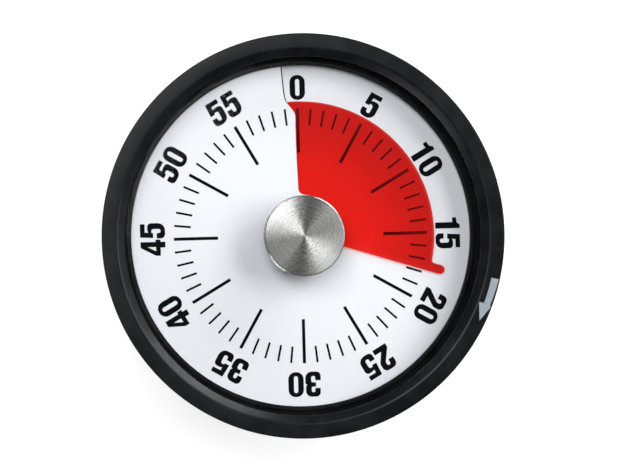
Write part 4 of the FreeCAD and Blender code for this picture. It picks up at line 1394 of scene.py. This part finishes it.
@dataclass
class Studio:
    """Pale floor, soft light and the camera."""

    frame_width: float = 124.4
    distance: float = 600.0
    lean: float = 6.8
    roll: float = 1.55
    aim: Point = (2.13, -0.03)
    aim_height: float = 32.0
    ambient: float = 0.13
    floor_glow: float = 0.75
    floor_gap: float = 0.02
    floor_reach: float = 1500.0
    light_aim: float = 0.02
    lights: tuple[SoftBox, ...] = (
        SoftBox("left_box", 325.0, 62.0, 0.60, 0.26, 0.46, 2.75),
        SoftBox("right_box", 70.0, 40.0, 0.60, 0.50, 0.26, 3.2),
        SoftBox("low_strip", 42.0, 17.0, 0.50, 0.30, 0.10, 1.9),
        SoftBox("low_fill", 222.0, 17.0, 0.50, 0.30, 0.10, 0.9),
    )

    def floor(self) -> None:
        """Lay the floor."""
        flat = FlatSheet()
        flat.face(*(flat.point(x * self.floor_reach, y * self.floor_reach, 0.0)
                    for x, y in ((-1, -1), (1, -1), (1, 1), (-1, 1))))
        ground = flat.build("floor")
        ground.location.z = -self.floor_gap * MM
        skin = Surface("pale_floor", {"Specular IOR Level": 0.1, "Emission Color": (1.0, 1.0, 1.0),
                                      "Emission Strength": self.floor_glow})
        cloud = skin.noise(60.0, 3.0)
        skin.feed("Base Color", skin.mix(cloud, (0.42, 0.42, 0.42), (0.40, 0.40, 0.405)))
        skin.feed("Roughness", 0.8 + 0.1 * (cloud - 0.5))
        ground.data.materials.append(skin.material)

    def air(self) -> None:
        """Fill the room with even light."""
        world = bpy.data.worlds.new("soft_room")
        bpy.context.scene.world = world
        world.use_nodes = True
        room = Tree(world.node_tree)
        room.tree.nodes.clear()
        glow = room.add("ShaderNodeBackground", {"Color": (1.0, 1.0, 1.0), "Strength": self.ambient})
        room.add("ShaderNodeOutputWorld", {0: glow.outputs[0]})

    def camera(self) -> None:
        """Set the camera a little to the left of the timer, looking down at it."""
        right = Vector((*at_clock(1.0, 90 + self.roll), 0.0))
        level_up = Vector((*at_clock(1.0, self.roll), 0.0))
        target = (right * self.aim[0] + level_up * self.aim[1]) * MM + Vector((0, 0, self.aim_height * MM))
        lean = math.radians(self.lean)
        back = (Vector((0, 0, math.cos(lean))) - right * math.sin(lean)).normalized()
        side = level_up.cross(back).normalized()
        turn = Matrix((side, back.cross(side), back)).transposed()
        data = bpy.data.cameras.new("camera")
        data.sensor_width = 36.0
        data.lens = data.sensor_width * self.distance / self.frame_width
        data.clip_start, data.clip_end = 0.01, 20.0
        eye = bpy.data.objects.new("camera", data)
        bpy.context.scene.collection.objects.link(eye)
        eye.matrix_world = Matrix.Translation(target + back * self.distance * MM) @ turn.to_4x4()
        bpy.context.scene.camera = eye

    def build(self) -> None:
        """Build the whole studio."""
        self.floor()
        self.air()
        self.camera()
        for light in self.lights:
            light.build(Vector((0, 0, self.light_aim)))
        bpy.context.scene.view_settings.view_transform = "Standard"


def main() -> None:
    """Build the timer, dress it and set the studio."""
    logging.basicConfig(level=logging.INFO, format="%(message)s")
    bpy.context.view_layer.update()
    bench = Bench()
    Movement(bench, frame["record"], frame["nodes"]).build()
    for assembly in (TurningRim, DialFace, TimeFilm, RearPad):
        assembly(bench).build()
    Studio().build()


if __name__ == "__main__":
    main()
